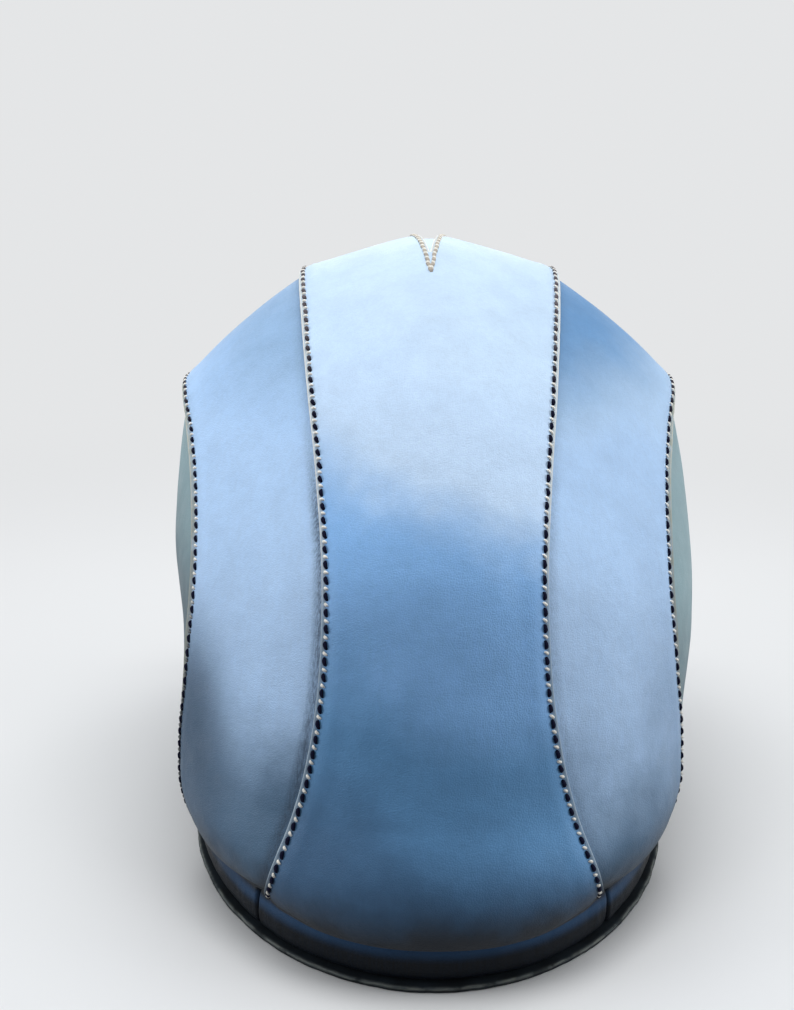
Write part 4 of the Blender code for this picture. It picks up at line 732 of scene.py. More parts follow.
def make_stitches(thread, pale_thread, dart_thread):
    """Sew all seams."""
    for label, (line, normals, level) in seam_rows().items():
        total, count = (INNER_RUN[-1], INNER_STITCHES) if label == "inner" else (OUTER_RUN[-1], OUTER_STITCHES)
        for side, word in ((1.0, "right"), (-1.0, "left")):
            relief = body_relief(line * [side, 1.0, 1.0], 1 if label == "inner" else 2)
            lifted = (line + normals * (level + relief - 0.00012)[:, None]) * [side, 1.0, 1.0]
            dark, pale = sew_row("seam_" + label + "_" + word, lifted, normals * [side, 1.0, 1.0], total,
                                 count, side, 40 + len(label + word))
            settle(dark, thread, "shell", "thread", "seam_thread_" + label + "_" + word)
            settle(pale, pale_thread, "shell", "thread")
    column, cut_half, stitch_half = crown_columns()
    rows = stitch_half > 0.0
    share = stitch_half[rows] / HALF_WIDTH[rows]
    step = 0.0015 / HALF_WIDTH[rows]
    near = skin(PLACES[rows][:, None], np.stack([share - step, share, share + step], axis=1))
    line, normals = near[:, 1], grid_normals(near)[:, 1]
    parts = {"stitches": [], "loops": []}
    for side, word in ((1.0, "right"), (-1.0, "left")):
        relief = body_relief(line * [side, 1.0, 1.0], 1)
        lifted = (line + normals * (relief - 0.00010)[:, None]) * [side, 1.0, 1.0]
        total = run_length(lifted)[-1]
        dark, pale = sew_row("dart_" + word, lifted, normals * [side, 1.0, 1.0], total,
                             int(total / STITCH_PITCH * 1.35), side, 60 + len(word))
        parts["stitches"].append(dark)
        parts["loops"].append(pale)
    dark, pale = (join_pieces("dart_" + label, pieces) for label, pieces in parts.items())
    settle(dark, dart_thread, "shell", "thread", "dart_thread")
    settle(pale, pale_thread, "shell", "thread")


def join_pieces(name, pieces):
    """Put several meshes into one object."""
    work = bmesh.new()
    for piece in pieces:
        work.from_mesh(piece.data)
        bpy.data.objects.remove(piece, do_unlink=True)
    mesh = bpy.data.meshes.new(name)
    work.to_mesh(mesh)
    work.free()
    mesh.shade_smooth()
    whole = bpy.data.objects.new(name, mesh)
    bpy.context.scene.collection.objects.link(whole)
    return whole


# Rolls and base strip

ROLL_INSET = 0.0020
ROLL_NARROWING = 0.0020
ROLL_WIDTH = 0.0140
ROLL_TOP = 0.0192
ROLL_TUCK = 0.0022
BASE_THICKNESS = 0.0020
FACE_ROLL_RADIUS = 0.0038
ROLL_SECTION_SHARES = [(-1.0, 0.0), (-1.0, 0.62), (-0.72, 0.92), (-0.1, 1.0), (0.5, 0.99),
                       (0.86, 0.80), (1.0, 0.48), (0.96, 0.16), (0.80, 0.0)]
FOOT_HALF_WIDTH = smooth_points(np.array(EAR_BOTTOM_SHARES) * BODY_SCALE, 9)[:, 0].max()
FOOT_BACK = -float(skin(0.0, 0.0)[1])
FACE_FOOT_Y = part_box("face_roll")[0][1] + FACE_ROLL_RADIUS - BODY_SHIFT[1]


def sweep(path, across, up, outline, closed=False):
    """Points and faces of a solid whose outline (across, up) follows a path."""
    path, across, up = (np.asarray(value, float)[:, None] for value in (path, across, up))
    outline = np.broadcast_to(outline, (len(path), *np.shape(outline)[-2:]))
    rings = path + across * outline[..., :1] + up * outline[..., 1:]
    if closed:
        return rings.reshape(-1, 3), quads(*rings.shape[:2], cyclic_rows=True, cyclic_columns=True)
    return loft(rings)


def follow(path, reference, closed=False):
    """Directions across and up along a path, with up as near to the reference as can be."""
    if closed:
        tangent = unit(np.roll(path, -1, axis=0) - np.roll(path, 1, axis=0))
    else:
        tangent = unit(np.gradient(path, axis=0))
    up = np.broadcast_to(reference, path.shape)
    up = unit(up - tangent * (up * tangent).sum(axis=1, keepdims=True))
    return np.cross(tangent, up), up


def circle(radius, sides=16):
    """A round outline for each radius."""
    angles = np.linspace(0.0, 2.0 * math.pi, sides, endpoint=False)
    return np.asarray(radius)[..., None, None] * np.stack([np.cos(angles), np.sin(angles)], axis=1)


def roll_plan(inset, front_y):
    """Half plan of the neck roll, from the middle of the back to its front end."""
    half_width, back = FOOT_HALF_WIDTH - ROLL_INSET - inset, FOOT_BACK - ROLL_INSET - inset
    angles = np.linspace(0.0, math.pi / 2.0, 400)
    behind = np.stack([half_width * np.sin(angles), -back * np.cos(angles)], axis=1)
    forward = np.linspace(0.0, front_y, 400)[1:]
    ahead = np.stack([half_width - ROLL_NARROWING * (forward / front_y) ** 2, forward], axis=1)
    return np.concatenate([behind, ahead])


def plan_stretch(plan, low, high, count):
    """Even steps along a plan between two shares of its length: path and outward direction."""
    places, along = chord_knots(plan), unit(np.gradient(plan, axis=0))
    rows = np.concatenate([plan, 0.0 * plan[:, :1], along[:, 1:], -along[:, :1], 0.0 * plan[:, :1]], axis=1)
    even = np.interp(np.linspace(low, high, count), [0.0, 1.0], [0.0, 1.0])
    return np.stack([np.interp(even, places, rows[:, axis]) for axis in range(6)], axis=1)


def both_halves(half):
    """Both halves of a plan, from the left front end to the right one."""
    return np.concatenate([half[:0:-1] * [-1.0, 1.0, 1.0, -1.0, 1.0, 1.0], half])


def roll_outline():
    """The neck roll's section (outward, up), rounded."""
    corners = np.array([(out * ROLL_WIDTH / 2.0, up, 0.0) for out, up in ROLL_SECTION_SHARES])
    foot = BASE_THICKNESS + LAYER_GAP
    corners[:, 1] = foot + corners[:, 1] * (ROLL_TOP + ROLL_TUCK - foot)
    outline = resample(np.concatenate([corners, corners[:1]]), 49)[:-1, :2]
    for _ in range(6):
        outline = (2.0 * outline + np.roll(outline, 1, axis=0) + np.roll(outline, -1, axis=0)) / 4.0
    return outline


def make_roll(name, plan, seed):
    """One stuffed piece of the neck roll, puckered where it is sewn shut at its ends."""
    outline = roll_outline()
    middle = outline.mean(axis=0)
    run = run_length(plan[:, :3])
    from_end = np.minimum(run, run[-1] - run)
    shut = np.sqrt(np.clip(1.0 - (1.0 - np.clip(from_end / 0.0014, 0.0, 1.0)) ** 2, 0.02, 1.0))
    shut = 0.72 + 0.28 * shut
    around = np.linspace(0.0, 2.0 * math.pi, len(outline), endpoint=False)
    field = np.stack([np.repeat(run[:, None], len(outline), axis=1),
                      0.004 * np.cos(around)[None] + 0.0 * run[:, None],
                      0.004 * np.sin(around)[None] + 0.0 * run[:, None]], axis=-1)
    pucker = 0.00022 * waver(field, 0.0055, seed) * (0.5 + 1.5 * hump(from_end, 0.0, 0.010))[:, None]
    pucker = pucker + 0.00050 * waver(field, 0.026, seed + 1, 1) - 0.00025
    outward = unit(outline - middle)
    outlines = middle + (outline - middle)[None] * shut[:, None, None] + outward[None] * pucker[..., None]
    points, faces = sweep(plan[:, :3], plan[:, 3:], np.tile([0.0, 0.0, 1.0], (len(plan), 1)), outlines)
    # Painted shade on the roll: dark at the top under the body and on its underside with a painted highlight band
    # between, and darker towards the sides; the sewn ends are darkened as joints.
    rise = (outlines[..., 1] - BASE_THICKNESS) / (ROLL_TOP - BASE_THICKNESS)
    dark = np.maximum(ramp(rise, 0.76, 0.90), 1.0 - ramp(rise, 0.50, 0.76))
    dark = np.maximum(dark, 0.7 * ramp(abs(plan[:, :1]), 0.050, 0.085))
    dark = np.maximum(dark, 0.8 * hump(from_end, 0.0, 0.0009)[:, None])
    return face_out(mesh_from(name, points, faces, {"shade": dark}))


def make_rolls(dye, raw):
    """The three pieces of the neck roll, the base strip and the rolled face edge."""
    inset, foot_y = ROLL_WIDTH / 2.0, FACE_FOOT_Y - FACE_ROLL_RADIUS - LAYER_GAP
    plan = roll_plan(inset, foot_y - ROLL_WIDTH * ROLL_NARROWING / foot_y)
    places = chord_knots(plan)
    seam_x = float(INNER_POINTS[0, 0])
    share = float(np.interp(seam_x, plan[:400, 0], places[:400]))
    gap = LAYER_GAP / run_length(np.pad(plan, ((0, 0), (0, 1))))[-1]
    pieces = {"right": plan_stretch(plan, share + gap, 1.0, 260),
              "back": both_halves(plan_stretch(plan, 0.0, share, 90))}
    pieces["left"] = pieces["right"] * [-1.0, 1.0, 1.0, -1.0, 1.0, 1.0]
    for seed, (word, rows) in enumerate(pieces.items()):
        piece = make_roll("neck_roll_leather_" + word, rows, 70 + 3 * seed)
        settle(piece, dye, "shell", "roll_leather", "neck_roll_" + word)

    half = plan_stretch(roll_plan(inset, FACE_FOOT_Y + FACE_ROLL_RADIUS), 0.0, 1.0, 330)
    rows = both_halves(half)
    rim = np.array([(-0.0070, 0.0), (-0.0070, 0.0018), (-0.0068, 0.0020), (0.0066, 0.0020), (0.0072, 0.00198),
                    (0.0076, 0.0018), (0.0079, 0.0015), (0.0080, 0.0011), (0.0080, 0.0006), (0.0078, 0.0002),
                    (0.0075, 0.0)])
    run = run_length(rows[:, :3])
    line = np.stack([run, 0.0 * run, 0.0 * run], axis=1)
    stray = 0.00028 * waver(line, 0.010, 80) + 0.00012 * waver(line, 0.003, 81) - 0.0001
    from_end = np.minimum(run, run[-1] - run)
    trim = 1.0 - np.sqrt(np.clip(1.0 - (1.0 - np.clip(from_end / 0.006, 0.0, 1.0)) ** 2, 0.0, 1.0))
    stray = stray - 0.0070 * trim
    outlines = rim[None] + (stray[:, None] * (rim[:, 0] > 0.006))[..., None] * [1.0, 0.0]
    points, faces = sweep(rows[:, :3], rows[:, 3:], np.tile([0.0, 0.0, 1.0], (len(rows), 1)), outlines)
    pale = np.tile([0.0, 0.0, 0.0, 0.0, 0.2, 0.8, 1.0, 0.4, 0.0, 0.0, 0.0], len(rows))
    strip = face_out(mesh_from("base_strip_leather", points, faces, {"edge": pale}))
    settle(strip, raw, "shell", "raw_leather", "neck_base")

    path = face_roll_path()
    run = run_length(path)
    across, up = follow(path, unit(path - [0.0, 0.0, 0.09]))
    sides = 28
    around = np.linspace(0.0, 2.0 * math.pi, sides, endpoint=False)
    field = np.stack([np.repeat(run[:, None], sides, axis=1), 0.003 * np.cos(around)[None] + 0.0 * run[:, None],
                      0.003 * np.sin(around)[None] + 0.0 * run[:, None]], axis=-1)
    radius = FACE_ROLL_RADIUS - 0.00018 + 0.00016 * waver(field, 0.0050, 84) + 0.00020 * waver(field, 0.022, 85, 1)
    turned_in = np.cos(around - 1.25 * math.pi)[None]
    radius = radius - 0.00055 * hump(1.0 - turned_in, 0.0, 0.045)
    shut = np.sqrt(np.clip(1.0 - (1.0 - np.clip(np.minimum(run, run[-1] - run) / 0.0018, 0.0, 1.0)) ** 2, 0.05, 1.0))
    outlines = circle(1.0, sides)[None] * (radius * shut[:, None])[..., None]
    points, faces = sweep(path, across, up, outlines)
    # Painted shade on the face roll's inward-turned side.
    edge = face_out(mesh_from("face_roll_leather", points, faces,
                              {"shade": np.tile(hump(1.0 - turned_in[0], 0.0, 0.06), len(path))}))
    settle(edge, dye, "shell", "roll_leather", "face_roll")


def face_roll_path():
    """Centre line of the rolled edge of the face opening, from the right foot to the left one."""
    shift = FACE_ROLL_RADIUS + 2.0 * LAYER_GAP
    brow_level = (LINING_SIDE_LEVEL - LINING) / 2.0
    cheek_level = (EAR_LEVEL + LINING_SIDE_LEVEL - LINING) / 2.0
    columns = np.array([0.0, 0.3, 0.6, 0.87, 1.0, 1.3, 1.6, 1.88, 2.0])
    edge, before = skin(1.0, columns), skin(0.97, columns)
    ahead, beside = unit(edge - before), unit(np.gradient(edge, axis=0))
    brow = edge + ahead * shift + unit(np.cross(beside, ahead)) * brow_level
    front = smooth_points(np.array(EAR_FRONT_SHARES) * BODY_SCALE, 8)
    tangent = unit(np.gradient(front, axis=0))
    away = front - ear_skin(front, np.full(len(front), 0.86))
    away = unit(away - tangent * (away * tangent).sum(axis=1, keepdims=True))
    outward = np.cross(away, tangent)
    outward = outward * np.sign(outward[:, :1])
    cheek = front + away * shift + outward * cheek_level
    foot = cheek[-1] * [1.0, 1.0, 0.0] + [0.0, 0.0, BASE_THICKNESS + LAYER_GAP]
    half = np.concatenate([[foot], cheek[:0:-1], brow[-2::-1]])
    return smooth_points(np.concatenate([half, half[-2::-1] * FLIP]), 420)


# Lining and cushions


def sheet_on_skin(name, grid, level, thickness, seed):
    """A thin cloth sheet under the leather, a little slack."""
    normals = grid_normals(grid)
    slack = 0.00025 * waver(grid, 0.030, seed) - 0.0001
    top = grid + normals * (level + slack)[..., None]
    bottom = grid + normals * (level + slack - thickness)[..., None]
    return face_out(shell_between(name, top, bottom, {}))


def make_lining(cloth):
    """The lining: a centre strip, two side strips and two ear pieces."""
    places = np.linspace(0.010, 0.992, 110)
    half = seam(INNER_POINTS, places)[:, :1]
    wide = np.linalg.norm(seam(OUTER_POINTS, places) - seam(INNER_POINTS, places), axis=1)[:, None]
    inset = 2.0 * LEATHER
    grid = skin(places[:, None], np.linspace(-1.0, 1.0, 61)[None] * (1.0 - inset / half))
    settle(sheet_on_skin("lining_cloth_centre", grid, LINING_CENTRE_LEVEL, LINING, 90), cloth, "shell",
           "lining", "lining_centre")
    low, high = 1.0 + LEATHER / wide, 2.0 - inset / wide
    grid = skin(places[:, None], low + (high - low) * np.linspace(0.0, 1.0, 36)[None])
    edge = ear_edge(150)[1]
    reach = np.linalg.norm(edge - EAR_DOME, axis=1)
    rings = np.linspace(1.0, 0.03, 26)
    disc = np.array([ear_skin(edge, ring * (1.0 - inset / reach), smooth_loop(edge)) for ring in rings])
    wrapped = np.concatenate([disc[:, -1:], disc, disc[:, :1]], axis=1)
    normals = grid_normals(wrapped)[:, 1:-1]
    normals = normals * np.sign(normals[13, 0, 0])
    for side, word in ((1.0, "right"), (-1.0, "left")):
        piece = sheet_on_skin("lining_cloth_side_" + word, grid, LINING_SIDE_LEVEL, LINING, 92)
        if side < 0.0:
            right = piece
            piece = mirror_piece(right, right.name)
            bpy.data.objects.remove(right, do_unlink=True)
        settle(piece, cloth, "shell", "lining", "lining_side_" + word)
        level = LINING_SIDE_LEVEL + 0.0002 * waver(disc, 0.030, 94)
        level = (level - ear_sink(disc, rings[:, None] + 0.0 * level, side))[..., None]
        pole = EAR_DOME + [float(level[-1].mean()), 0.0, 0.0]
        piece = disc_between("lining_cloth_ear_" + word, disc + normals * level,
                             disc + normals * (level - LINING), [pole, pole - [LINING, 0.0, 0.0]], {}, side)
        settle(piece, cloth, "shell", "lining", "lining_ear_" + word)


PAD_CENTRE_LEVEL = LINING_CENTRE_LEVEL - LINING - 0.0005
PAD_SIDE_LEVEL = LINING_SIDE_LEVEL - LINING - 0.0005
PAD_SLACK = 0.0012
PAD_CAP = 0.0026
CLOTH_FRAMES = 20


def pad_profile(count, channels=1):
    """Height of a cushion across its rows: one swell for each channel, low at both ends."""
    share = np.linspace(0.0, 1.0, count)
    ends = (share * channels < 0.5) | (share * channels > channels - 0.5)
    floor = np.where(ends, 0.0, 0.52)
    return floor + (1.0 - floor) * np.sqrt(np.abs(np.sin(share * channels * math.pi)))


def make_cushion(name, grid, level, depth, rows, columns, sewn_rows, cyclic=False):
    """A cushion on the lining: its base sheet, its crowned sheet and the points that are sewn down."""
    if cyclic:
        wrapped = np.concatenate([grid[-1:], grid, grid[:1]])
        normals = grid_normals(wrapped)[1:-1]
    else:
        normals = grid_normals(grid)
    normals = normals * np.where((normals * grid).sum(axis=-1, keepdims=True) < 0.0, -1.0, 1.0)
    profile = np.outer(rows, columns)
    drawn = 0.22 * (1.0 - profile)
    low = grid + normals * (level - depth * drawn)[..., None]
    rise = drawn + 0.22 + (0.78 - drawn) * profile * (1.0 - PAD_SLACK / depth)
    high = grid + normals * (level - depth * rise)[..., None]
    count, size = profile.size, profile.shape[1]
    faces = quads(*profile.shape, cyclic_rows=cyclic)
    faces += [[index + count for index in face[::-1]] for face in faces]
    last = profile.shape[0] if cyclic else profile.shape[0] - 1
    for row in range(last):
        here, there = row * size, (row + 1) % profile.shape[0] * size
        faces.append([here, there, count + there, count + here])
        faces.append([there + size - 1, here + size - 1, count + here + size - 1, count + there + size - 1])
    if not cyclic:
        for column in range(size - 1):
            end = (profile.shape[0] - 1) * size + column
            faces.append([column + 1, column, count + column, count + column + 1])
            faces.append([end, end + 1, count + end + 1, count + end])
    piece = face_out(mesh_from(name, np.concatenate([low.reshape(-1, 3), high.reshape(-1, 3)]), faces))
    held = np.zeros(profile.shape, bool)
    held[:, [0, 1, -2, -1]] = True
    held[sewn_rows] = True
    sewn = piece.vertex_groups.new(name="sewn")
    pins = list(range(count)) + [count + int(index) for index in np.flatnonzero(held.ravel())]
    sewn.add(pins, 1.0, "REPLACE")
    return piece


def inflate(pieces):
    """Fill the cushions: a short cloth simulation under pressure, capped and applied to each mesh."""
    starts = []
    for piece in pieces:
        cloth = piece.modifiers.new("filling", "CLOTH")
        cloth.settings.quality = 6
        cloth.settings.use_pressure = True
        cloth.settings.uniform_pressure_force = 4.0
        cloth.settings.effector_weights.gravity = 0.0
        cloth.settings.shrink_min = -0.05
        cloth.settings.vertex_group_mass = "sewn"
        cloth.point_cache.frame_end = CLOTH_FRAMES
        start = np.zeros(len(piece.data.vertices) * 3)
        piece.data.vertices.foreach_get("co", start)
        starts.append(start.reshape(-1, 3))
    for step in range(1, CLOTH_FRAMES + 1):
        bpy.context.scene.frame_set(step)
    graph = bpy.context.evaluated_depsgraph_get()
    for piece, start in zip(pieces, starts):
        end = np.zeros(start.size)
        piece.evaluated_get(graph).data.vertices.foreach_get("co", end)
        moved = end.reshape(-1, 3) - start
        moved = moved * np.minimum(1.0, PAD_CAP / np.maximum(np.linalg.norm(moved, axis=1, keepdims=True), 1e-9))
        piece.modifiers.clear()
        piece.data.vertices.foreach_set("co", (start + moved).ravel())
        piece.data.update()
    bpy.context.scene.frame_set(1)


def make_cushions(cloth):
    """Crown, nape, brow, side and ear cushions."""
    pieces = {}
    channel_rows = [0, 1, 16, 32, 47, 48]
    for word, low, high, wide, level, depth in (("crown", 0.47, 0.74, 0.84, PAD_CENTRE_LEVEL, 0.012),
                                                ("nape", 0.10, 0.40, 0.80, PAD_CENTRE_LEVEL, 0.011)):
        grid = skin(np.linspace(low, high, 49)[:, None], np.linspace(-wide, wide, 49)[None])
        pieces[word + "_pad"] = make_cushion(word + "_cushion", grid, level, depth, pad_profile(49, 3),
                                             pad_profile(49), channel_rows)
    grid = skin(np.linspace(0.865, 0.975, 15)[:, None], np.linspace(-1.82, 1.82, 121)[None])
    pieces["brow_pad"] = make_cushion("brow_cushion", grid, PAD_SIDE_LEVEL, 0.0075, pad_profile(15),
                                      pad_profile(121), [0, 1, 13, 14])
    edge = resample(ear_edge(220)[1], 121)[:-1]
    for side, word in ((1.0, "right"), (-1.0, "left")):
        grid = skin(np.linspace(0.30, 0.72, 49)[:, None], np.linspace(1.16, 1.84, 31)[None])
        pieces["side_pad_" + word] = make_cushion("side_cushion_" + word, grid, PAD_SIDE_LEVEL, 0.010,
                                                  pad_profile(49, 3), pad_profile(31), channel_rows)
        rings = np.linspace(0.24, 0.56, 15)
        grid = np.stack([ear_skin(edge, ring, smooth_loop(edge)) for ring in rings], axis=1)
        grid[..., 0] -= ear_sink(grid, rings + 0.0 * grid[..., 0], side)
        pieces["ear_pad_" + word] = make_cushion("ear_cushion_" + word, grid, PAD_SIDE_LEVEL, 0.0125,
                                                 np.ones(len(edge)), pad_profile(15), [], True)
    inflate(list(pieces.values()))
    for node, piece in pieces.items():
        if node.endswith("_left"):
            right = piece
            piece = mirror_piece(right, right.name)
            bpy.data.objects.remove(right, do_unlink=True)
        smooth = piece.modifiers.new("smooth", "SUBSURF")
        smooth.levels = 1
        smooth.render_levels = 1
        settle(piece, cloth, "shell", "cushion", node)


# Straps and hardware

JOINTS = {joint["name"]: joint for joint in frame["joints"]}
SEAT = np.array(JOINTS["chin_strap_right_swing"]["pos_m"])
NORMAL = np.array(JOINTS["chin_strap_right_swing"]["axis"])
DROP_ANGLE = math.radians(36.0)
FORWARD = unit(np.cross([0.0, 0.0, 1.0], NORMAL))
UPWARD = np.cross(NORMAL, FORWARD)
ALONG = FORWARD * math.cos(DROP_ANGLE) - UPWARD * math.sin(DROP_ANGLE)
ACROSS = FORWARD * math.sin(DROP_ANGLE) + UPWARD * math.cos(DROP_ANGLE)
STRAP_WIDTH = 0.0160
STRAP_THICKNESS = 0.0020
STRAP_STRAIGHT = 0.0460
STRAP_BEND_RADIUS = 0.0360
STRAP_CENTRE = 0.0028
STRAP_TURN = math.pi / 2.0 - math.atan2(NORMAL[1], NORMAL[0])
DIRECTION = np.array([math.cos(STRAP_TURN), math.sin(STRAP_TURN)])
BESIDE = np.array([-DIRECTION[1], DIRECTION[0]])
TAIL_SETBACK = 0.0115
TAIL_REACH = 0.0830
TIP_LENGTH = 0.0120
HOLE_RADIUS = 0.0016
HOLE_PITCH = 0.0130
RIVET_HOLE_RADIUS = 0.0022
HEEL_REACH = 0.0360
BAR_OFF = 0.00265
WIRE_RADIUS = 0.0013
BUCKLE_LENGTH = 0.0210
BUCKLE_HALF = 0.0099
PRONG_CURL = 0.0025
PRONG_RADIUS = 0.0009


def strap_place(points, side):
    """Points in the body's frame from a strap half's own (along, inward, across) ones."""
    placed = SEAT + np.asarray(points) * [1.0, 1.0, side] @ np.stack([ALONG, -NORMAL, ACROSS])
    return placed * [side, 1.0, 1.0] - BODY_SHIFT


def bar_place(points):
    """Points in the body's frame from the buckle's own (ahead, beside, across) ones."""
    line = strap_line(0.0, HEEL_REACH)
    bar = line[-1] + BESIDE * BAR_OFF
    points = np.asarray(points)
    flat = bar + points[..., :1] * DIRECTION + points[..., 1:2] * BESIDE
    return strap_place(np.concatenate([flat, points[..., 2:]], axis=-1), -1.0)


def strap_line(setback, reach):
    """A strap's centre line in its bending plane."""
    straight = STRAP_STRAIGHT - setback
    angles = np.linspace(0.0, STRAP_TURN, 40)
    start = np.stack([np.linspace(0.0, straight, 40), np.full(40, -STRAP_CENTRE)], axis=1)
    arc = np.stack([straight + STRAP_BEND_RADIUS * np.sin(angles),
                    STRAP_BEND_RADIUS * (1.0 - np.cos(angles)) - STRAP_CENTRE], axis=1)
    end = arc[-1] + DIRECTION * np.linspace(0.0, reach, 70)[1:, None]
    return np.concatenate([start, arc[1:], end])


def strap_outline(width, thickness):
    """Rounded section (across, thick) with a pressed line along each edge."""
    insets = np.array([0.0, 0.00018, 0.0006, 0.0013, 0.0018, 0.0023, 0.0050])
    drops = np.array([0.00060, 0.00018, 0.0, 0.0, 0.00018, 0.0, -0.00008])
    reach = insets * min(1.0, width / 2.0 / 0.0060)
    half = thickness / 2.0
    right = np.stack([width / 2.0 - reach, half - drops * min(1.0, thickness / 0.002)], axis=1)
    top = np.concatenate([right[::-1] * [-1.0, 1.0], right])
    top = top[np.argsort(top[:, 0], kind="stable")]
    return np.concatenate([top, top[::-1] * [1.0, -1.0]])


def strap_body(name, line, widths, thicknesses, side, seed):
    """A strap along a line in its bending plane."""
    tangent = unit(np.gradient(line, axis=0))
    normal = np.stack([-tangent[:, 1], tangent[:, 0]], axis=1)
    run = run_length(line)
    outlines = np.array([strap_outline(width, thick) for width, thick in zip(widths, thicknesses)])
    wave = 0.00018 * waver(np.stack([run, 0.0 * run, 0.0 * run], axis=1), 0.018, seed)
    path = np.concatenate([line + normal * wave[:, None], 0.0 * line[:, :1]], axis=1)
    across = np.tile([0.0, 0.0, 1.0], (len(line), 1))
    up = np.concatenate([normal, 0.0 * line[:, :1]], axis=1)
    points, faces = sweep(path, across, up, outlines)
    rim = np.zeros(outlines.shape[1])
    size = len(rim) // 2
    rim[[0, size - 1, size, -1]] = 1.0
    lip = rim.copy()
    lip[[1, size - 2, size + 1, -2]] = 1.0
    marks = {"edge": np.tile(rim, len(line)), "lip": np.tile(lip, len(line))}
    return face_out(mesh_from(name, strap_place(points, side), faces, marks))


def bore(piece, centres, directions, outline, side):
    """Cut openings through a strap: outlines (ahead, across) at places in its bending plane."""
    for centre, direction in zip(centres, directions):
        beside = np.array([-direction[1], direction[0]])
        ring = np.concatenate([centre + outline[:, :1] * direction, outline[:, 1:]], axis=1)
        shift = np.array([*beside, 0.0]) * 0.008
        points, faces = loft([ring - shift, ring + shift])
        cutter = face_out(mesh_from("cutter", strap_place(points, side), faces))
        opening = piece.modifiers.new("opening", "BOOLEAN")
        opening.operation = "DIFFERENCE"
        opening.solver = "EXACT"
        opening.object = cutter
        bpy.context.view_layer.update()
        evaluated = piece.evaluated_get(bpy.context.evaluated_depsgraph_get())
        mesh = bpy.data.meshes.new_from_object(evaluated)
        piece.modifiers.clear()
        piece.data = mesh
        bpy.data.objects.remove(cutter, do_unlink=True)
    return piece


def end_widths(from_rivet):
    """The strap's width near its rounded end, at signed distances ahead of the rivet."""
    back = np.clip((-from_rivet - 0.0038) / 0.00535, 0.0, 1.0)
    return STRAP_WIDTH * (1.0 - back**2.4) ** 0.4545


def with_end(line):
    """A line that starts at the strap's rounded end behind the rivet."""
    back = -0.0091 * np.sin(np.linspace(math.pi / 2.0, 0.0, 24))[:-1]
    return np.concatenate([np.stack([back, np.full(len(back), -STRAP_CENTRE)], axis=1), line])


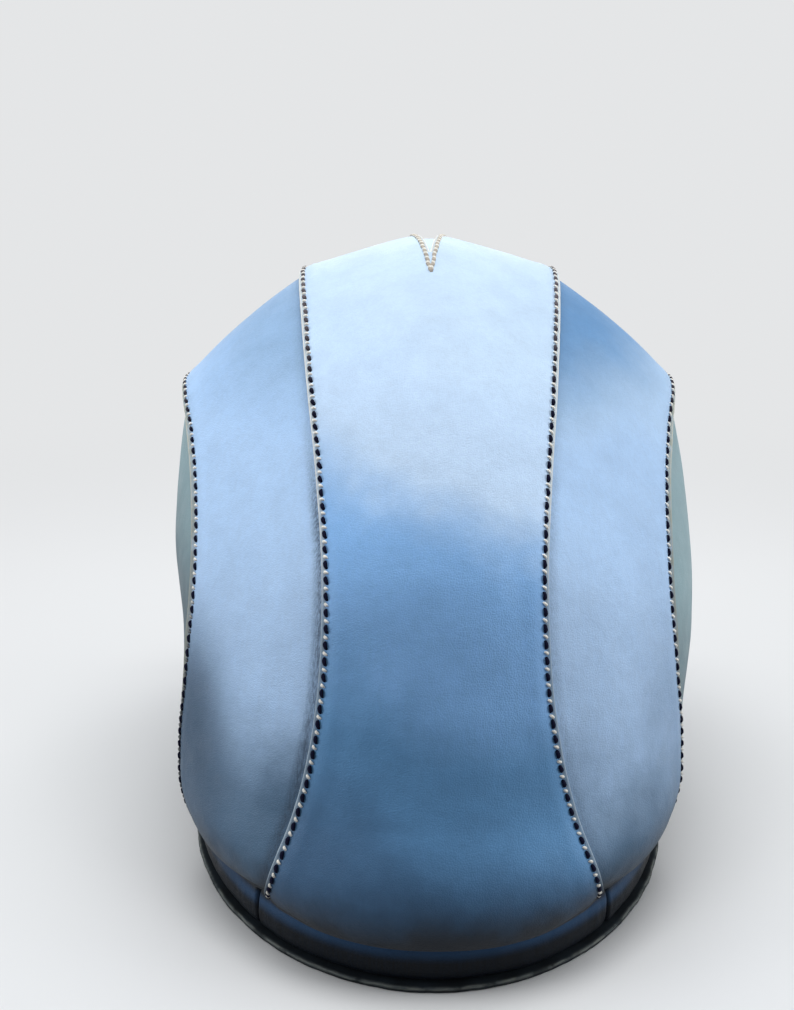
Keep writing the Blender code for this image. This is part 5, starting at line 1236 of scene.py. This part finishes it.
def make_straps(dye, thread, metal):
    """Both strap halves with their hardware."""
    forth = np.array([1.0, 0.0])
    hole = circle(RIVET_HOLE_RADIUS, 28)
    line = with_end(strap_line(TAIL_SETBACK, TAIL_REACH))
    back = np.linalg.norm(line - line[-1], axis=1)
    tip = np.clip(back / TIP_LENGTH, 0.0, 1.0)
    widths = np.minimum(end_widths(line[:, 0]), STRAP_WIDTH * (0.16 + 0.84 * tip**0.48))
    dense = np.sqrt(np.linspace(0.0, 1.0, 24))
    thick = np.full(len(line), STRAP_THICKNESS)
    tail = strap_body("chin_strap_leather_right", line, widths, thick, 1.0, 100)
    bore(tail, [np.array([0.0, -STRAP_CENTRE])], [forth], hole, 1.0)
    places = [line[-1] - DIRECTION * (2.0 * TIP_LENGTH + index * HOLE_PITCH) for index in range(5)]
    bore(tail, places, [DIRECTION] * 5, circle(HOLE_RADIUS, 24), 1.0)
    settle(tail, dye, "strap_right", "strap_leather", "chin_strap_right")

    line = with_end(strap_line(0.0, HEEL_REACH))
    end = line[-1]
    turn = np.linspace(0.0, math.pi, 26)[1:]
    fold = end + np.sin(turn)[:, None] * BAR_OFF * DIRECTION + (BAR_OFF - BAR_OFF * np.cos(turn))[:, None] * BESIDE
    share = np.linspace(0.0, 1.0, 14)[1:]
    fall = 2.0 * BAR_OFF + (0.00207 - 2.0 * BAR_OFF) * ramp(share, 0.0, 1.0)
    down = end - share[:, None] * 0.0075 * DIRECTION + fall[:, None] * BESIDE
    flat = end - np.linspace(0.0080, 0.0130, 8)[:, None] * DIRECTION + 0.00207 * BESIDE
    whole = np.concatenate([line, fold, down, flat])
    thick = np.full(len(whole), STRAP_THICKNESS)
    thick[-4:] = [0.0019, 0.0017, 0.0014, 0.0009]
    widths = np.concatenate([end_widths(line[:, 0]), np.full(len(whole) - len(line), STRAP_WIDTH)])
    half = strap_body("chin_strap_leather_left", whole, widths, thick, -1.0, 104)
    bore(half, [np.array([0.0, -STRAP_CENTRE])], [forth], hole, -1.0)
    ends = np.linspace(math.pi / 2.0, 1.5 * math.pi, 13)
    slot = np.stack([-0.0025 + 0.0014 * np.cos(ends), 0.0014 * np.sin(ends)], axis=1)
    slot = np.concatenate([slot, [(0.009, -0.0014), (0.009, 0.0014)]])
    bore(half, [end + BESIDE * BAR_OFF], [DIRECTION], slot, -1.0)
    settle(half, dye, "strap_left", "strap_leather", "chin_strap_left")

    small = thread_loop(0.0021, 0.00075, 0.0006, 0.0003, 8, 7)
    places, headings, faces_up = [], [], []
    for row in (0.0092, 0.0115):
        for across in np.linspace(-0.0056, 0.0056, 5):
            for off, way in ((0.00307, 1.0), (-0.0010, -1.0)):
                flat = end - DIRECTION * row + BESIDE * off
                places.append((*flat, across))
                headings.append((0.0, 0.0, way))
                faces_up.append((*(BESIDE * way), 0.0))
    origin = strap_place(np.zeros(3), -1.0)
    places, headings, faces_up = (strap_place(np.array(rows), -1.0) for rows in (places, headings, faces_up))
    sewn = sew("fold_stitches", places, headings - origin, faces_up - origin, small, 0.15, 7)
    settle(sewn, thread, "strap_left", "thread")

    settle(make_keeper(end - DIRECTION * 0.0230), dye, "keeper", "strap_leather", "strap_keeper")
    settle(make_buckle(), metal, "buckle", "metal", "buckle_frame")
    settle(make_prong(), metal, "prong", "metal", "buckle_prong")
    dome = [(0.0, 0.0058), (0.0012, 0.00576), (0.0024, 0.00562), (0.0034, 0.00535), (0.0041, 0.0050),
            (0.0045, 0.00465), (0.0046, 0.0044), (0.0045, 0.0042), (0.0018, 0.0042), (0.0018, -0.0038),
            (0.0044, -0.0038), (0.0046, -0.0040), (0.0044, -0.0045), (0.0034, -0.0049), (0.0018, -0.0050),
            (0.0, -0.0050)]
    ring = [(0.0022, 0.0006), (0.0024, 0.0004), (0.0046, 0.0004), (0.0048, 0.0006), (0.0048, 0.0012),
            (0.0046, 0.0014), (0.0024, 0.0014), (0.0022, 0.0012)]
    for side, word in ((1.0, "right"), (-1.0, "left")):
        settle(turned("rivet_" + word, dome, side), metal, "shell", "metal", "strap_rivet_" + word)
        settle(turned("washer_" + word, ring, side, True), metal, "shell", "metal", "strap_washer_" + word)


def turned(name, profile, side, hollow=False):
    """A turned piece about the rivet's axis."""
    angles = np.linspace(0.0, 2.0 * math.pi, 48, endpoint=False)
    ring = np.array([[(radius * math.cos(angle), radius * math.sin(angle), height) for angle in angles]
                     for radius, height in profile if hollow or radius > 0.0])
    placed = SEAT + ring @ np.stack([FORWARD, UPWARD, NORMAL])
    placed = placed * [side, 1.0, 1.0] - BODY_SHIFT
    if hollow:
        faces = quads(*ring.shape[:2], cyclic_rows=True, cyclic_columns=True)
        return face_out(mesh_from(name, placed.reshape(-1, 3), faces))
    return face_out(mesh_from(name, *loft(placed)))


def rounded_loop(corners, radii, steps=8):
    """A closed path in a plane with each corner rounded."""
    corners = np.asarray(corners, float)
    path = []
    for index, (corner, radius) in enumerate(zip(corners, radii)):
        before = unit(corners[index - 1] - corner)
        after = unit(corners[(index + 1) % len(corners)] - corner)
        middle = corner + (before + after) * radius
        for angle in np.linspace(0.0, math.pi / 2.0, steps + 1):
            path.append(middle - after * radius * math.cos(angle) - before * radius * math.sin(angle))
    return np.array(path)


def make_keeper(place):
    """The sliding loop of leather that holds the tail down."""
    wall, low, high, wide = 0.0013, -0.0038, 0.0014, 0.0084
    flat = rounded_loop([(low - wall / 2, -wide - wall / 2), (high + wall / 2, -wide - wall / 2),
                         (high + wall / 2, wide + wall / 2), (low - wall / 2, wide + wall / 2)], [0.0011] * 4)
    path = np.concatenate([place + flat[:, :1] * BESIDE, flat[:, 1:]], axis=1)
    forth = np.array([*DIRECTION, 0.0])
    tangent = unit(np.roll(path, -1, axis=0) - np.roll(path, 1, axis=0))
    out = np.cross(tangent, forth)
    edge, half = 0.0035, wall / 2.0
    outline = np.array([(-edge, -half + 0.0004), (-edge + 0.0004, -half), (edge - 0.0004, -half),
                        (edge, -half + 0.0004), (edge, half - 0.0004), (edge - 0.0004, half),
                        (edge - 0.0010, half), (edge - 0.0013, half - 0.00012), (edge - 0.0016, half),
                        (-edge + 0.0016, half), (-edge + 0.0013, half - 0.00012), (-edge + 0.0010, half),
                        (-edge + 0.0004, half), (-edge, half - 0.0004)])
    points, faces = sweep(path, np.tile(forth, (len(path), 1)), out, outline, True)
    rim = np.tile([1.0, 0, 0, 1.0, 1.0, 0, 0, 0, 0, 0, 0, 0, 0, 1.0], len(path))
    return face_out(mesh_from("keeper_leather", strap_place(points, -1.0), faces, {"edge": rim, "lip": rim}))


def make_buckle():
    """The buckle's bent wire, with a shallow rest for the prong in its far bar."""
    flat = rounded_loop([(0.0, -BUCKLE_HALF), (BUCKLE_LENGTH, -BUCKLE_HALF), (BUCKLE_LENGTH, BUCKLE_HALF),
                         (0.0, BUCKLE_HALF)], [WIRE_RADIUS, 0.0030, 0.0030, WIRE_RADIUS])
    dense = np.concatenate([flat, flat[:1]])
    dense = resample(np.concatenate([dense, 0.0 * dense[:, :1]], axis=1), 181)[:-1]
    path = np.stack([dense[:, 0], 0.0 * dense[:, 0], dense[:, 1]], axis=1)
    across, up = follow(path, np.array([0.0, 1.0, 0.0]), True)
    rest = hump(path[:, 2], 0.0, 0.0012) * (path[:, 0] > BUCKLE_LENGTH / 2.0)
    outlines = np.repeat(circle(WIRE_RADIUS, 20)[None], len(path), axis=0)
    outlines[..., 1] = outlines[..., 1] + (outlines[..., 1] < 0.0) * rest[:, None] * 0.00022
    points, faces = sweep(path, across, up, outlines, True)
    return face_out(mesh_from("buckle_wire", bar_place(points), faces))


def make_prong():
    """The prong: wire curled round the heel bar, drawn thinner towards its tip."""
    angles = np.radians(np.linspace(30.0, 270.0, 40))
    curl = np.stack([PRONG_CURL * np.cos(angles), PRONG_CURL * np.sin(angles), 0.0 * angles], axis=1)
    straight = np.stack([np.linspace(0.0, 0.0233, 40)[1:], np.full(39, -PRONG_CURL), np.zeros(39)], axis=1)
    path = np.concatenate([curl, straight])
    across, up = follow(path, np.array([0.0, 0.0, 1.0]))
    radius = PRONG_RADIUS - 0.00028 * ramp(path[:, 0], 0.010, 0.0233)
    radius[0] = radius[0] * 0.55
    radius[-1] = radius[-1] * 0.45
    points, faces = sweep(path, across, up, circle(radius, 18))
    return face_out(mesh_from("prong_wire", bar_place(points), faces))


# Finishes


def tone(code):
    """A linear colour from a six-digit screen colour."""
    values = [int(code[index:index + 2], 16) / 255.0 for index in (0, 2, 4)]
    return (*(value / 12.92 if value <= 0.04045 else ((value + 0.055) / 1.055) ** 2.4 for value in values), 1.0)


class Finish:
    """A material's node tree, built a node at a time."""

    def __init__(self, name):
        self.material = bpy.data.materials.new(name)
        self.material.use_nodes = True
        self.tree = self.material.node_tree
        self.shader = self.tree.nodes["Principled BSDF"]
        self.place = self.add("ShaderNodeTexCoord").outputs["Object"]

    def feed(self, socket, value):
        """Link a socket to another, or set its value."""
        if isinstance(value, bpy.types.NodeSocket):
            self.tree.links.new(value, socket)
        else:
            socket.default_value = value

    def add(self, kind, inputs=None, **settings):
        """Add a node with its inputs and settings."""
        node = self.tree.nodes.new(kind)
        for key, value in settings.items():
            setattr(node, key, value)
        for key, value in (inputs or {}).items():
            self.feed(node.inputs[key], value)
        return node

    def stretched(self, stretch):
        """The place with each axis scaled by its own amount."""
        return self.add("ShaderNodeVectorMath", {0: self.place, 1: stretch}, operation="MULTIPLY").outputs[0]

    def noise(self, scale, detail=3.0, stretch=None, rough=0.55):
        """Noise from 0 to 1. The scale is in features per metre."""
        vector = self.place if stretch is None else self.stretched(stretch)
        node = self.add("ShaderNodeTexNoise", {"Vector": vector, "Scale": scale, "Detail": detail,
                                               "Roughness": rough})
        return node.outputs["Fac"]

    def cells(self, scale, feature="DISTANCE_TO_EDGE"):
        """Distance to the border of a cell pattern."""
        node = self.add("ShaderNodeTexVoronoi", {"Vector": self.place, "Scale": scale}, feature=feature)
        return node.outputs["Distance"]

    def spread(self, value, low, high, to_low=0.0, to_high=1.0):
        """Stretch a range of values over another."""
        node = self.add("ShaderNodeMapRange", {"Value": value, "From Min": low, "From Max": high,
                                               "To Min": to_low, "To Max": to_high},
                        interpolation_type="SMOOTHSTEP")
        return node.outputs["Result"]

    def math(self, operation, first, second=0.0):
        """Arithmetic on two values."""
        return self.add("ShaderNodeMath", {0: first, 1: second}, operation=operation).outputs[0]

    def mix(self, share, first, second, blend="MIX"):
        """Mix two colours."""
        node = self.add("ShaderNodeMix", data_type="RGBA", blend_type=blend)
        self.feed(node.inputs["Factor"], share)
        for socket in node.inputs:
            if socket.type == "RGBA" and socket.name in "AB":
                self.feed(socket, first if socket.name == "A" else second)
        return next(socket for socket in node.outputs if socket.type == "RGBA")

    def mark(self, name):
        """A value stored on the mesh."""
        return self.add("ShaderNodeAttribute", attribute_name=name).outputs["Fac"]

    def axis(self, name):
        """One coordinate of the place."""
        return self.add("ShaderNodeSeparateXYZ", {0: self.place}).outputs[name]

    def bump(self, height, distance, normal=None):
        """Relief of the given depth in metres."""
        inputs = {"Height": height, "Distance": distance, "Strength": 1.0}
        if normal is not None:
            inputs["Normal"] = normal
        return self.add("ShaderNodeBump", inputs).outputs["Normal"]

    def set(self, **values):
        """Set the shader's inputs, with underscores for blanks."""
        for key, value in values.items():
            self.feed(self.shader.inputs[key.replace("_", " ")], value)
        return self.material


def leather(name, first, shade_by_height=(), raw=None, roughness=0.50, grain=1.0, shade=None, crown=None, foot=True,
            slant=0.0, flank_shade=None, smudge=None, shine=0.25, nap=0.04):
    """Dyed leather: soft clouds, painted shade that darkens it lower down and where it turns under, fine grain and
    pale cut edges.
    """
    finish = Finish(name)
    cloud = finish.noise(17.0, 4.0)
    # Painted shade: the colour stops darken the leather lower down, as light from above would, and the slant tips
    # that change to one side.
    height = finish.math("ADD", finish.axis("Z"), finish.spread(cloud, 0.3, 0.7, -0.009, 0.009))
    height = finish.math("ADD", height, finish.math("MULTIPLY", finish.axis("X"), slant))
    colour = tone(first)
    for low, high, code in shade_by_height:
        colour = finish.mix(finish.spread(height, low, high), colour, tone(code))
    # Painted shade: a deeper blue on the side panels' upper slopes, stronger on the right.
    if crown:
        low, high, left, right, code = crown
        share = finish.spread(cloud, 0.3, 0.7, -0.004, 0.004)
        share = finish.spread(finish.math("ADD", finish.axis("Z"), share), low, high)
        share = finish.math("MULTIPLY", share, finish.spread(finish.axis("X"), -0.02, 0.02, left, right))
        colour = finish.mix(share, colour, tone(code))
    mottle = finish.spread(finish.noise(95.0, 5.0, rough=0.65), 0.30, 0.70, 0.955, 1.03)
    brushed = finish.spread(finish.noise(1.0, 3.0, (900.0, 900.0, 60.0)), 0.30, 0.70, 0.975, 1.02)
    pale = finish.spread(cloud, 0.35, 0.65, 0.955, 1.02)
    tint = finish.math("MULTIPLY", finish.math("MULTIPLY", mottle, brushed), pale)
    colour = finish.mix(1.0, colour, grey_of(finish, tint), "MULTIPLY")
    speck = finish.spread(finish.noise(52.0, 6.0, rough=0.75), 0.67, 0.75, 0.0, 0.22)
    colour = finish.mix(speck, colour, tone("6f93b6"))
    if shade:
        share, faint, gloom = shade
        streaks = finish.spread(finish.noise(1.0, 3.0, (1500.0, 1500.0, 30.0)), 0.35, 0.65, faint * share, share)
        colour = finish.mix(finish.math("MULTIPLY", finish.mark("shade"), streaks), colour, tone(gloom))
    # Painted shade on the low outer flanks, where the sides turn down away from the light.
    if flank_shade:
        out = finish.spread(finish.math("ABSOLUTE", finish.axis("X")), 0.064, 0.086)
        low = finish.spread(finish.axis("Z"), 0.125, 0.080)
        sided = finish.spread(finish.axis("X"), -0.02, 0.02, *flank_shade)
        share = finish.math("MULTIPLY", finish.math("MULTIPLY", out, low), sided)
        colour = finish.mix(share, colour, tone("3d566f"))
    if smudge:
        place, size = smudge
        near = finish.add("ShaderNodeVectorMath", {0: finish.place, 1: place}, operation="DISTANCE").outputs["Value"]
        near = finish.math("ADD", near, finish.spread(finish.noise(500.0, 4.0), 0.3, 0.7, -0.3 * size, 0.6 * size))
        colour = finish.mix(finish.spread(near, size, 0.3 * size, 0.0, 0.55), colour, tone("4f6474"))
    rough = finish.spread(finish.noise(85.0, 4.0), 0.3, 0.7, roughness - 0.05, roughness + 0.07)
    if raw:
        worn = finish.spread(finish.noise(260.0, 4.0), 0.2, 0.7, 0.55, 0.95)
        # Painted shade: the cut edges and margins are darker lower down.
        edge_lit_by_height = finish.spread(finish.axis("Z"), 0.115, 0.165)
        lip = finish.mix(edge_lit_by_height, tone(raw[0]), tone(raw[1]))
        colour = finish.mix(finish.math("MULTIPLY", finish.mark("lip"), worn), colour, lip)
        colour = finish.mix(finish.mark("edge"), colour, finish.mix(edge_lit_by_height, tone(raw[2]), tone(raw[3])))
        rough = finish.math("MAXIMUM", rough, finish.math("MULTIPLY", finish.mark("lip"), 0.72))
    # Painted shade: near-black where the panel turns under into the crease over the neck roll.
    if foot:
        drift = finish.math("ADD", finish.axis("Z"), finish.spread(finish.noise(60.0, 3.0), 0.3, 0.7, -0.002, 0.002))
        colour = finish.mix(finish.spread(drift, 0.042, 0.020, 0.0, 0.97), colour, tone("0b1016"))
    pores = finish.spread(finish.cells(1150.0), 0.0, 0.22)
    creases = finish.noise(420.0, 5.0, rough=0.65)
    fibre = finish.noise(3200.0, 3.0)
    relief = finish.math("ADD", finish.math("MULTIPLY", pores, 0.45), finish.math("MULTIPLY", creases, 0.9))
    relief = finish.math("ADD", relief, finish.math("MULTIPLY", fibre, 0.35))
    normal = finish.bump(relief, 0.00010 * grain)
    normal = finish.bump(finish.noise(75.0, 3.0), 0.00045 * grain, normal)
    return finish.set(Base_Color=colour, Roughness=rough, Normal=normal, Specular_IOR_Level=shine,
                      Sheen_Weight=nap, Sheen_Roughness=0.45)


def grey_of(finish, value):
    """A grey colour from a value."""
    return finish.add("ShaderNodeCombineColor", {0: value, 1: value, 2: value}).outputs[0]


def thread_finish(name, dark, worn, low, high, rubbed="1a2144", left_low_shade=None):
    """Waxed thread, painted pale towards the crown as a highlight, with painted shade low on the left where asked.
    """
    finish = Finish(name)
    # Painted highlight: the thread pales towards the crown, sooner at the sides.
    aside = finish.math("MULTIPLY", finish.math("ABSOLUTE", finish.axis("X")), 0.4)
    share = finish.spread(finish.math("ADD", finish.axis("Z"), aside), low, high)
    share = finish.math("MULTIPLY", share, finish.spread(finish.noise(300.0, 2.0), 0.3, 0.7, 0.6, 1.0))
    fibre = finish.noise(5200.0, 3.0)
    colour = finish.mix(finish.spread(fibre, 0.45, 0.8, 0.0, 0.5), tone(dark), tone(rubbed))
    colour = finish.mix(share, colour, tone(worn))
    if left_low_shade:
        # Painted shade on the pale thread low on the left side.
        left = finish.spread(finish.axis("X"), -0.062, -0.076)
        left = finish.math("MULTIPLY", left, finish.spread(finish.axis("Z"), 0.125, 0.100, 0.0, 0.85))
        colour = finish.mix(left, colour, tone(left_low_shade))
    return finish.set(Base_Color=colour, Roughness=0.68, Normal=finish.bump(fibre, 0.00008),
                      Specular_IOR_Level=0.06)


def cloth_finish(name, light, dark, thread_size, roughness=0.92):
    """Woven cloth with a soft nap."""
    finish = Finish(name)
    turn = 2.0 * math.pi / thread_size
    weave = finish.add("ShaderNodeTexWave", {"Vector": finish.place, "Scale": turn / 20.0, "Distortion": 0.6,
                                             "Detail": 2.0}, bands_direction="DIAGONAL").outputs["Fac"]
    across = finish.add("ShaderNodeTexWave", {"Vector": finish.stretched((-1.0, 1.0, 1.0)),
                                              "Scale": turn / 20.0, "Distortion": 0.6, "Detail": 2.0},
                        bands_direction="DIAGONAL").outputs["Fac"]
    woven = finish.math("MAXIMUM", weave, across)
    cloud = finish.spread(finish.noise(30.0, 4.0), 0.3, 0.7)
    colour = finish.mix(finish.math("MULTIPLY", cloud, 0.7), tone(light), tone(dark))
    colour = finish.mix(finish.spread(woven, 0.2, 0.9, 0.45, 0.0), colour, tone(dark))
    nap = finish.noise(2400.0, 4.0)
    normal = finish.bump(nap, 0.00012, finish.bump(woven, 0.00022))
    return finish.set(Base_Color=colour, Roughness=roughness, Normal=normal, Sheen_Weight=0.35,
                      Sheen_Roughness=0.5, Specular_IOR_Level=0.25)


def raw_finish():
    """The base strip: near-black leather with a pale, fibrous upper rim."""
    finish = Finish("raw_leather_edge")
    layers = finish.noise(1.0, 4.0, (160.0, 160.0, 2600.0))
    body = finish.mix(finish.spread(finish.noise(90.0, 4.0), 0.3, 0.7), tone("12171c"), tone("1f272e"))
    rim = finish.mix(finish.spread(layers, 0.3, 0.7), tone("8c918c"), tone("565f64"))
    worn = finish.spread(finish.noise(140.0, 5.0), 0.34, 0.52, 0.15, 0.75)
    colour = finish.mix(finish.math("MULTIPLY", finish.mark("edge"), worn), body, rim)
    return finish.set(Base_Color=colour, Roughness=0.80, Normal=finish.bump(layers, 0.00022),
                      Specular_IOR_Level=0.12)


def metal_finish():
    """Dull nickel with fine scratches."""
    finish = Finish("dull_nickel")
    scratches = finish.noise(1.0, 4.0, (700.0, 4500.0, 1500.0))
    stain = finish.spread(finish.noise(260.0, 4.0), 0.35, 0.7)
    colour = finish.mix(stain, tone("c9c5bb"), tone("9d978b"))
    rough = finish.math("ADD", finish.spread(scratches, 0.3, 0.7, 0.20, 0.36), finish.math("MULTIPLY", stain, 0.08))
    return finish.set(Base_Color=colour, Roughness=rough, Metallic=1.0, Normal=finish.bump(scratches, 0.00002))


# Stage


def make_camera():
    """The camera of the photograph: behind the helmet, looking a little down."""
    data = bpy.data.cameras.new("camera")
    data.lens = CAMERA_LENS
    data.clip_start = 0.01
    camera = bpy.data.objects.new("camera", data)
    camera.location = CAMERA_PLACE
    camera.rotation_euler = (math.pi / 2.0 - CAMERA_FALL, 0.0, 0.0)
    bpy.context.scene.collection.objects.link(camera)
    bpy.context.scene.camera = camera


def add_lamp(name, place, aim, size, power, colour=(1.0, 1.0, 1.0)):
    """A soft rectangular lamp that looks at a point."""
    data = bpy.data.lights.new(name, "AREA")
    data.shape = "RECTANGLE"
    data.size, data.size_y = size
    data.energy = power
    data.color = colour
    lamp = bpy.data.objects.new(name, data)
    lamp.location = place
    lamp.rotation_euler = (Vector(aim) - Vector(place)).to_track_quat("-Z", "Y").to_euler()
    bpy.context.scene.collection.objects.link(lamp)


def seen_share(tree):
    """1 for camera, glossy and transmitted rays, and 0 for the light that the stage gives off."""
    path = tree.nodes.new("ShaderNodeLightPath")
    total = None
    for output in ("Is Camera Ray", "Is Glossy Ray", "Is Transmission Ray"):
        if total is None:
            total = path.outputs[output]
            continue
        most = tree.nodes.new("ShaderNodeMath")
        most.operation = "MAXIMUM"
        tree.links.new(total, most.inputs[0])
        tree.links.new(path.outputs[output], most.inputs[1])
        total = most.outputs[0]
    return total


PALE_STAGE = (0.78, 0.79, 0.80, 1.0)
BOUNCE_STAGE = (0.22, 0.22, 0.23, 1.0)
STAGE_FADE = (0.20, 0.75)


def make_stage():
    """A pale floor that melts into a pale background."""
    mesh = bpy.data.meshes.new("floor")
    half = 6.0
    mesh.from_pydata([(-half, -half, 0.0), (half, -half, 0.0), (half, half, 0.0), (-half, half, 0.0)], [],
                     [(0, 1, 2, 3)])
    floor = bpy.data.objects.new("floor", mesh)
    bpy.context.scene.collection.objects.link(floor)
    finish = Finish("floor")
    tree = finish.tree
    near = finish.add("ShaderNodeVectorMath", {0: finish.place}, operation="LENGTH").outputs["Value"]
    faded = finish.spread(near, *STAGE_FADE)
    pale = finish.add("ShaderNodeBsdfDiffuse", {"Color": PALE_STAGE})
    bounce = finish.add("ShaderNodeBsdfDiffuse", {"Color": BOUNCE_STAGE})
    glow = finish.add("ShaderNodeEmission", {"Color": PALE_STAGE})
    seen = finish.add("ShaderNodeMixShader", {0: faded, 1: pale.outputs[0], 2: glow.outputs[0]})
    both = finish.add("ShaderNodeMixShader", {0: seen_share(tree), 1: bounce.outputs[0], 2: seen.outputs[0]})
    tree.links.new(both.outputs[0], tree.nodes["Material Output"].inputs["Surface"])
    mesh.materials.append(finish.material)

    world = bpy.data.worlds.new("studio")
    bpy.context.scene.world = world
    world.use_nodes = True
    tree = world.node_tree
    lit = tree.nodes["Background"]
    lit.inputs["Color"].default_value = (0.92, 0.96, 1.0, 1.0)
    lit.inputs["Strength"].default_value = WORLD_LEVEL
    shown = tree.nodes.new("ShaderNodeBackground")
    shown.inputs["Color"].default_value = PALE_STAGE
    mixed = tree.nodes.new("ShaderNodeMixShader")
    tree.links.new(seen_share(tree), mixed.inputs[0])
    tree.links.new(lit.outputs[0], mixed.inputs[1])
    tree.links.new(shown.outputs[0], mixed.inputs[2])
    tree.links.new(mixed.outputs[0], tree.nodes["World Output"].inputs["Surface"])


WORLD_LEVEL = 0.20


def make_lights():
    """A wide soft lamp overhead, two at the sides and a weak one that reaches the inside."""
    add_lamp("overhead", (0.0, 0.0, 1.30), (0.0, 0.0, 0.12), (1.1, 0.8), 13.2)
    for side in (-1.0, 1.0):
        add_lamp("side_lamp", (1.05 * side, -0.15, 0.32), (0.0, 0.0, 0.12), (0.6, 0.7), 5.2)
    add_lamp("front_lamp", (0.0, 1.00, 0.60), (0.0, 0.05, 0.05), (0.5, 0.4), 1.6)


def dress():
    """Build every piece."""
    # Each leather's colour stops are painted shade: deeper blue lower down, pale at the crown.
    centre = leather("centre_leather", "456a8f", [(0.034, 0.075, "6499ca"), (0.078, 0.118, "88baf0"),
                                                  (0.137, 0.167, "c8e2ff"), (0.190, 0.222, "c6def6")],
                     ("8a9cae", "c6cfd2", "a3b4c1", "f3f1e9"), slant=0.24)
    # The side, ear and roll leathers carry painted shade besides their dye colour.
    side_dye_and_shade = leather("side_leather", "4f6e8b", [(0.046, 0.094, "b4d5fb"), (0.170, 0.200, "b9d5f2")],
                       ("85897f", "a0a598", "9a9d92", "d8d5c6"), shade=(0.85, 0.55, "2b3d51"),
                       crown=(0.166, 0.208, 0.55, 0.98, "5d8cbb"), slant=0.16, flank_shade=(0.90, 0.30),
                       smudge=((-0.0820, -0.0810, 0.0863), 0.0024))
    ear_dye_and_shade = leather("ear_leather", "4b616c", [(0.080, 0.145, "8eabb3")], shade=(0.5, 0.6, "2b3d51"), slant=0.20)
    roll_dye_and_shade = leather("roll_leather", "2e4c6e", shade=(1.0, 0.96, "090d12"), roughness=0.46, foot=False,
                       shine=0.12, nap=0.0)
    strap_dye = leather("strap_leather", "4f7299", raw=("9aa7ad", "9aa7ad", "c9c6b8", "c9c6b8"), grain=1.3,
                        foot=False)
    thread = thread_finish("dark_thread", "070920", "6b6468", 0.200, 0.240)
    pale_thread = thread_finish("pale_thread", "f2efe6", "faf8f0", 0.020, 0.260, "d8d3c4", "3b4650")
    # Painted highlight: the V's thread is the dark thread drawn as lit, grey-brown and paler at the crown.
    dart_thread = thread_finish("dart_thread", "938a86", "c9c1b2", 0.205, 0.245, "b3aaa0")
    lining = cloth_finish("lining_cloth", "d3c8b0", "aca188", 0.0009)
    pad_cloth = cloth_finish("cushion_cloth", "a9b6c5", "7b8797", 0.0011)
    metal = metal_finish()
    settle(make_crown_panel(), centre, "shell", "centre_leather", "crown_panel")
    settle(make_gusset(), centre, "shell", "centre_leather", "crown_gusset")
    for side, word in ((1.0, "right"), (-1.0, "left")):
        settle(make_side_panel(side), side_dye_and_shade, "shell", "side_leather", "side_panel_" + word)
        settle(make_ear_panel(side), ear_dye_and_shade, "shell", "ear_leather", "ear_panel_" + word)
    make_stitches(thread, pale_thread, dart_thread)
    make_rolls(roll_dye_and_shade, raw_finish())
    make_lining(lining)
    make_cushions(pad_cloth)
    make_straps(strap_dye, pale_thread, metal)


bpy.context.scene.view_settings.view_transform = "Standard"
make_camera()
make_stage()
make_lights()
dress()
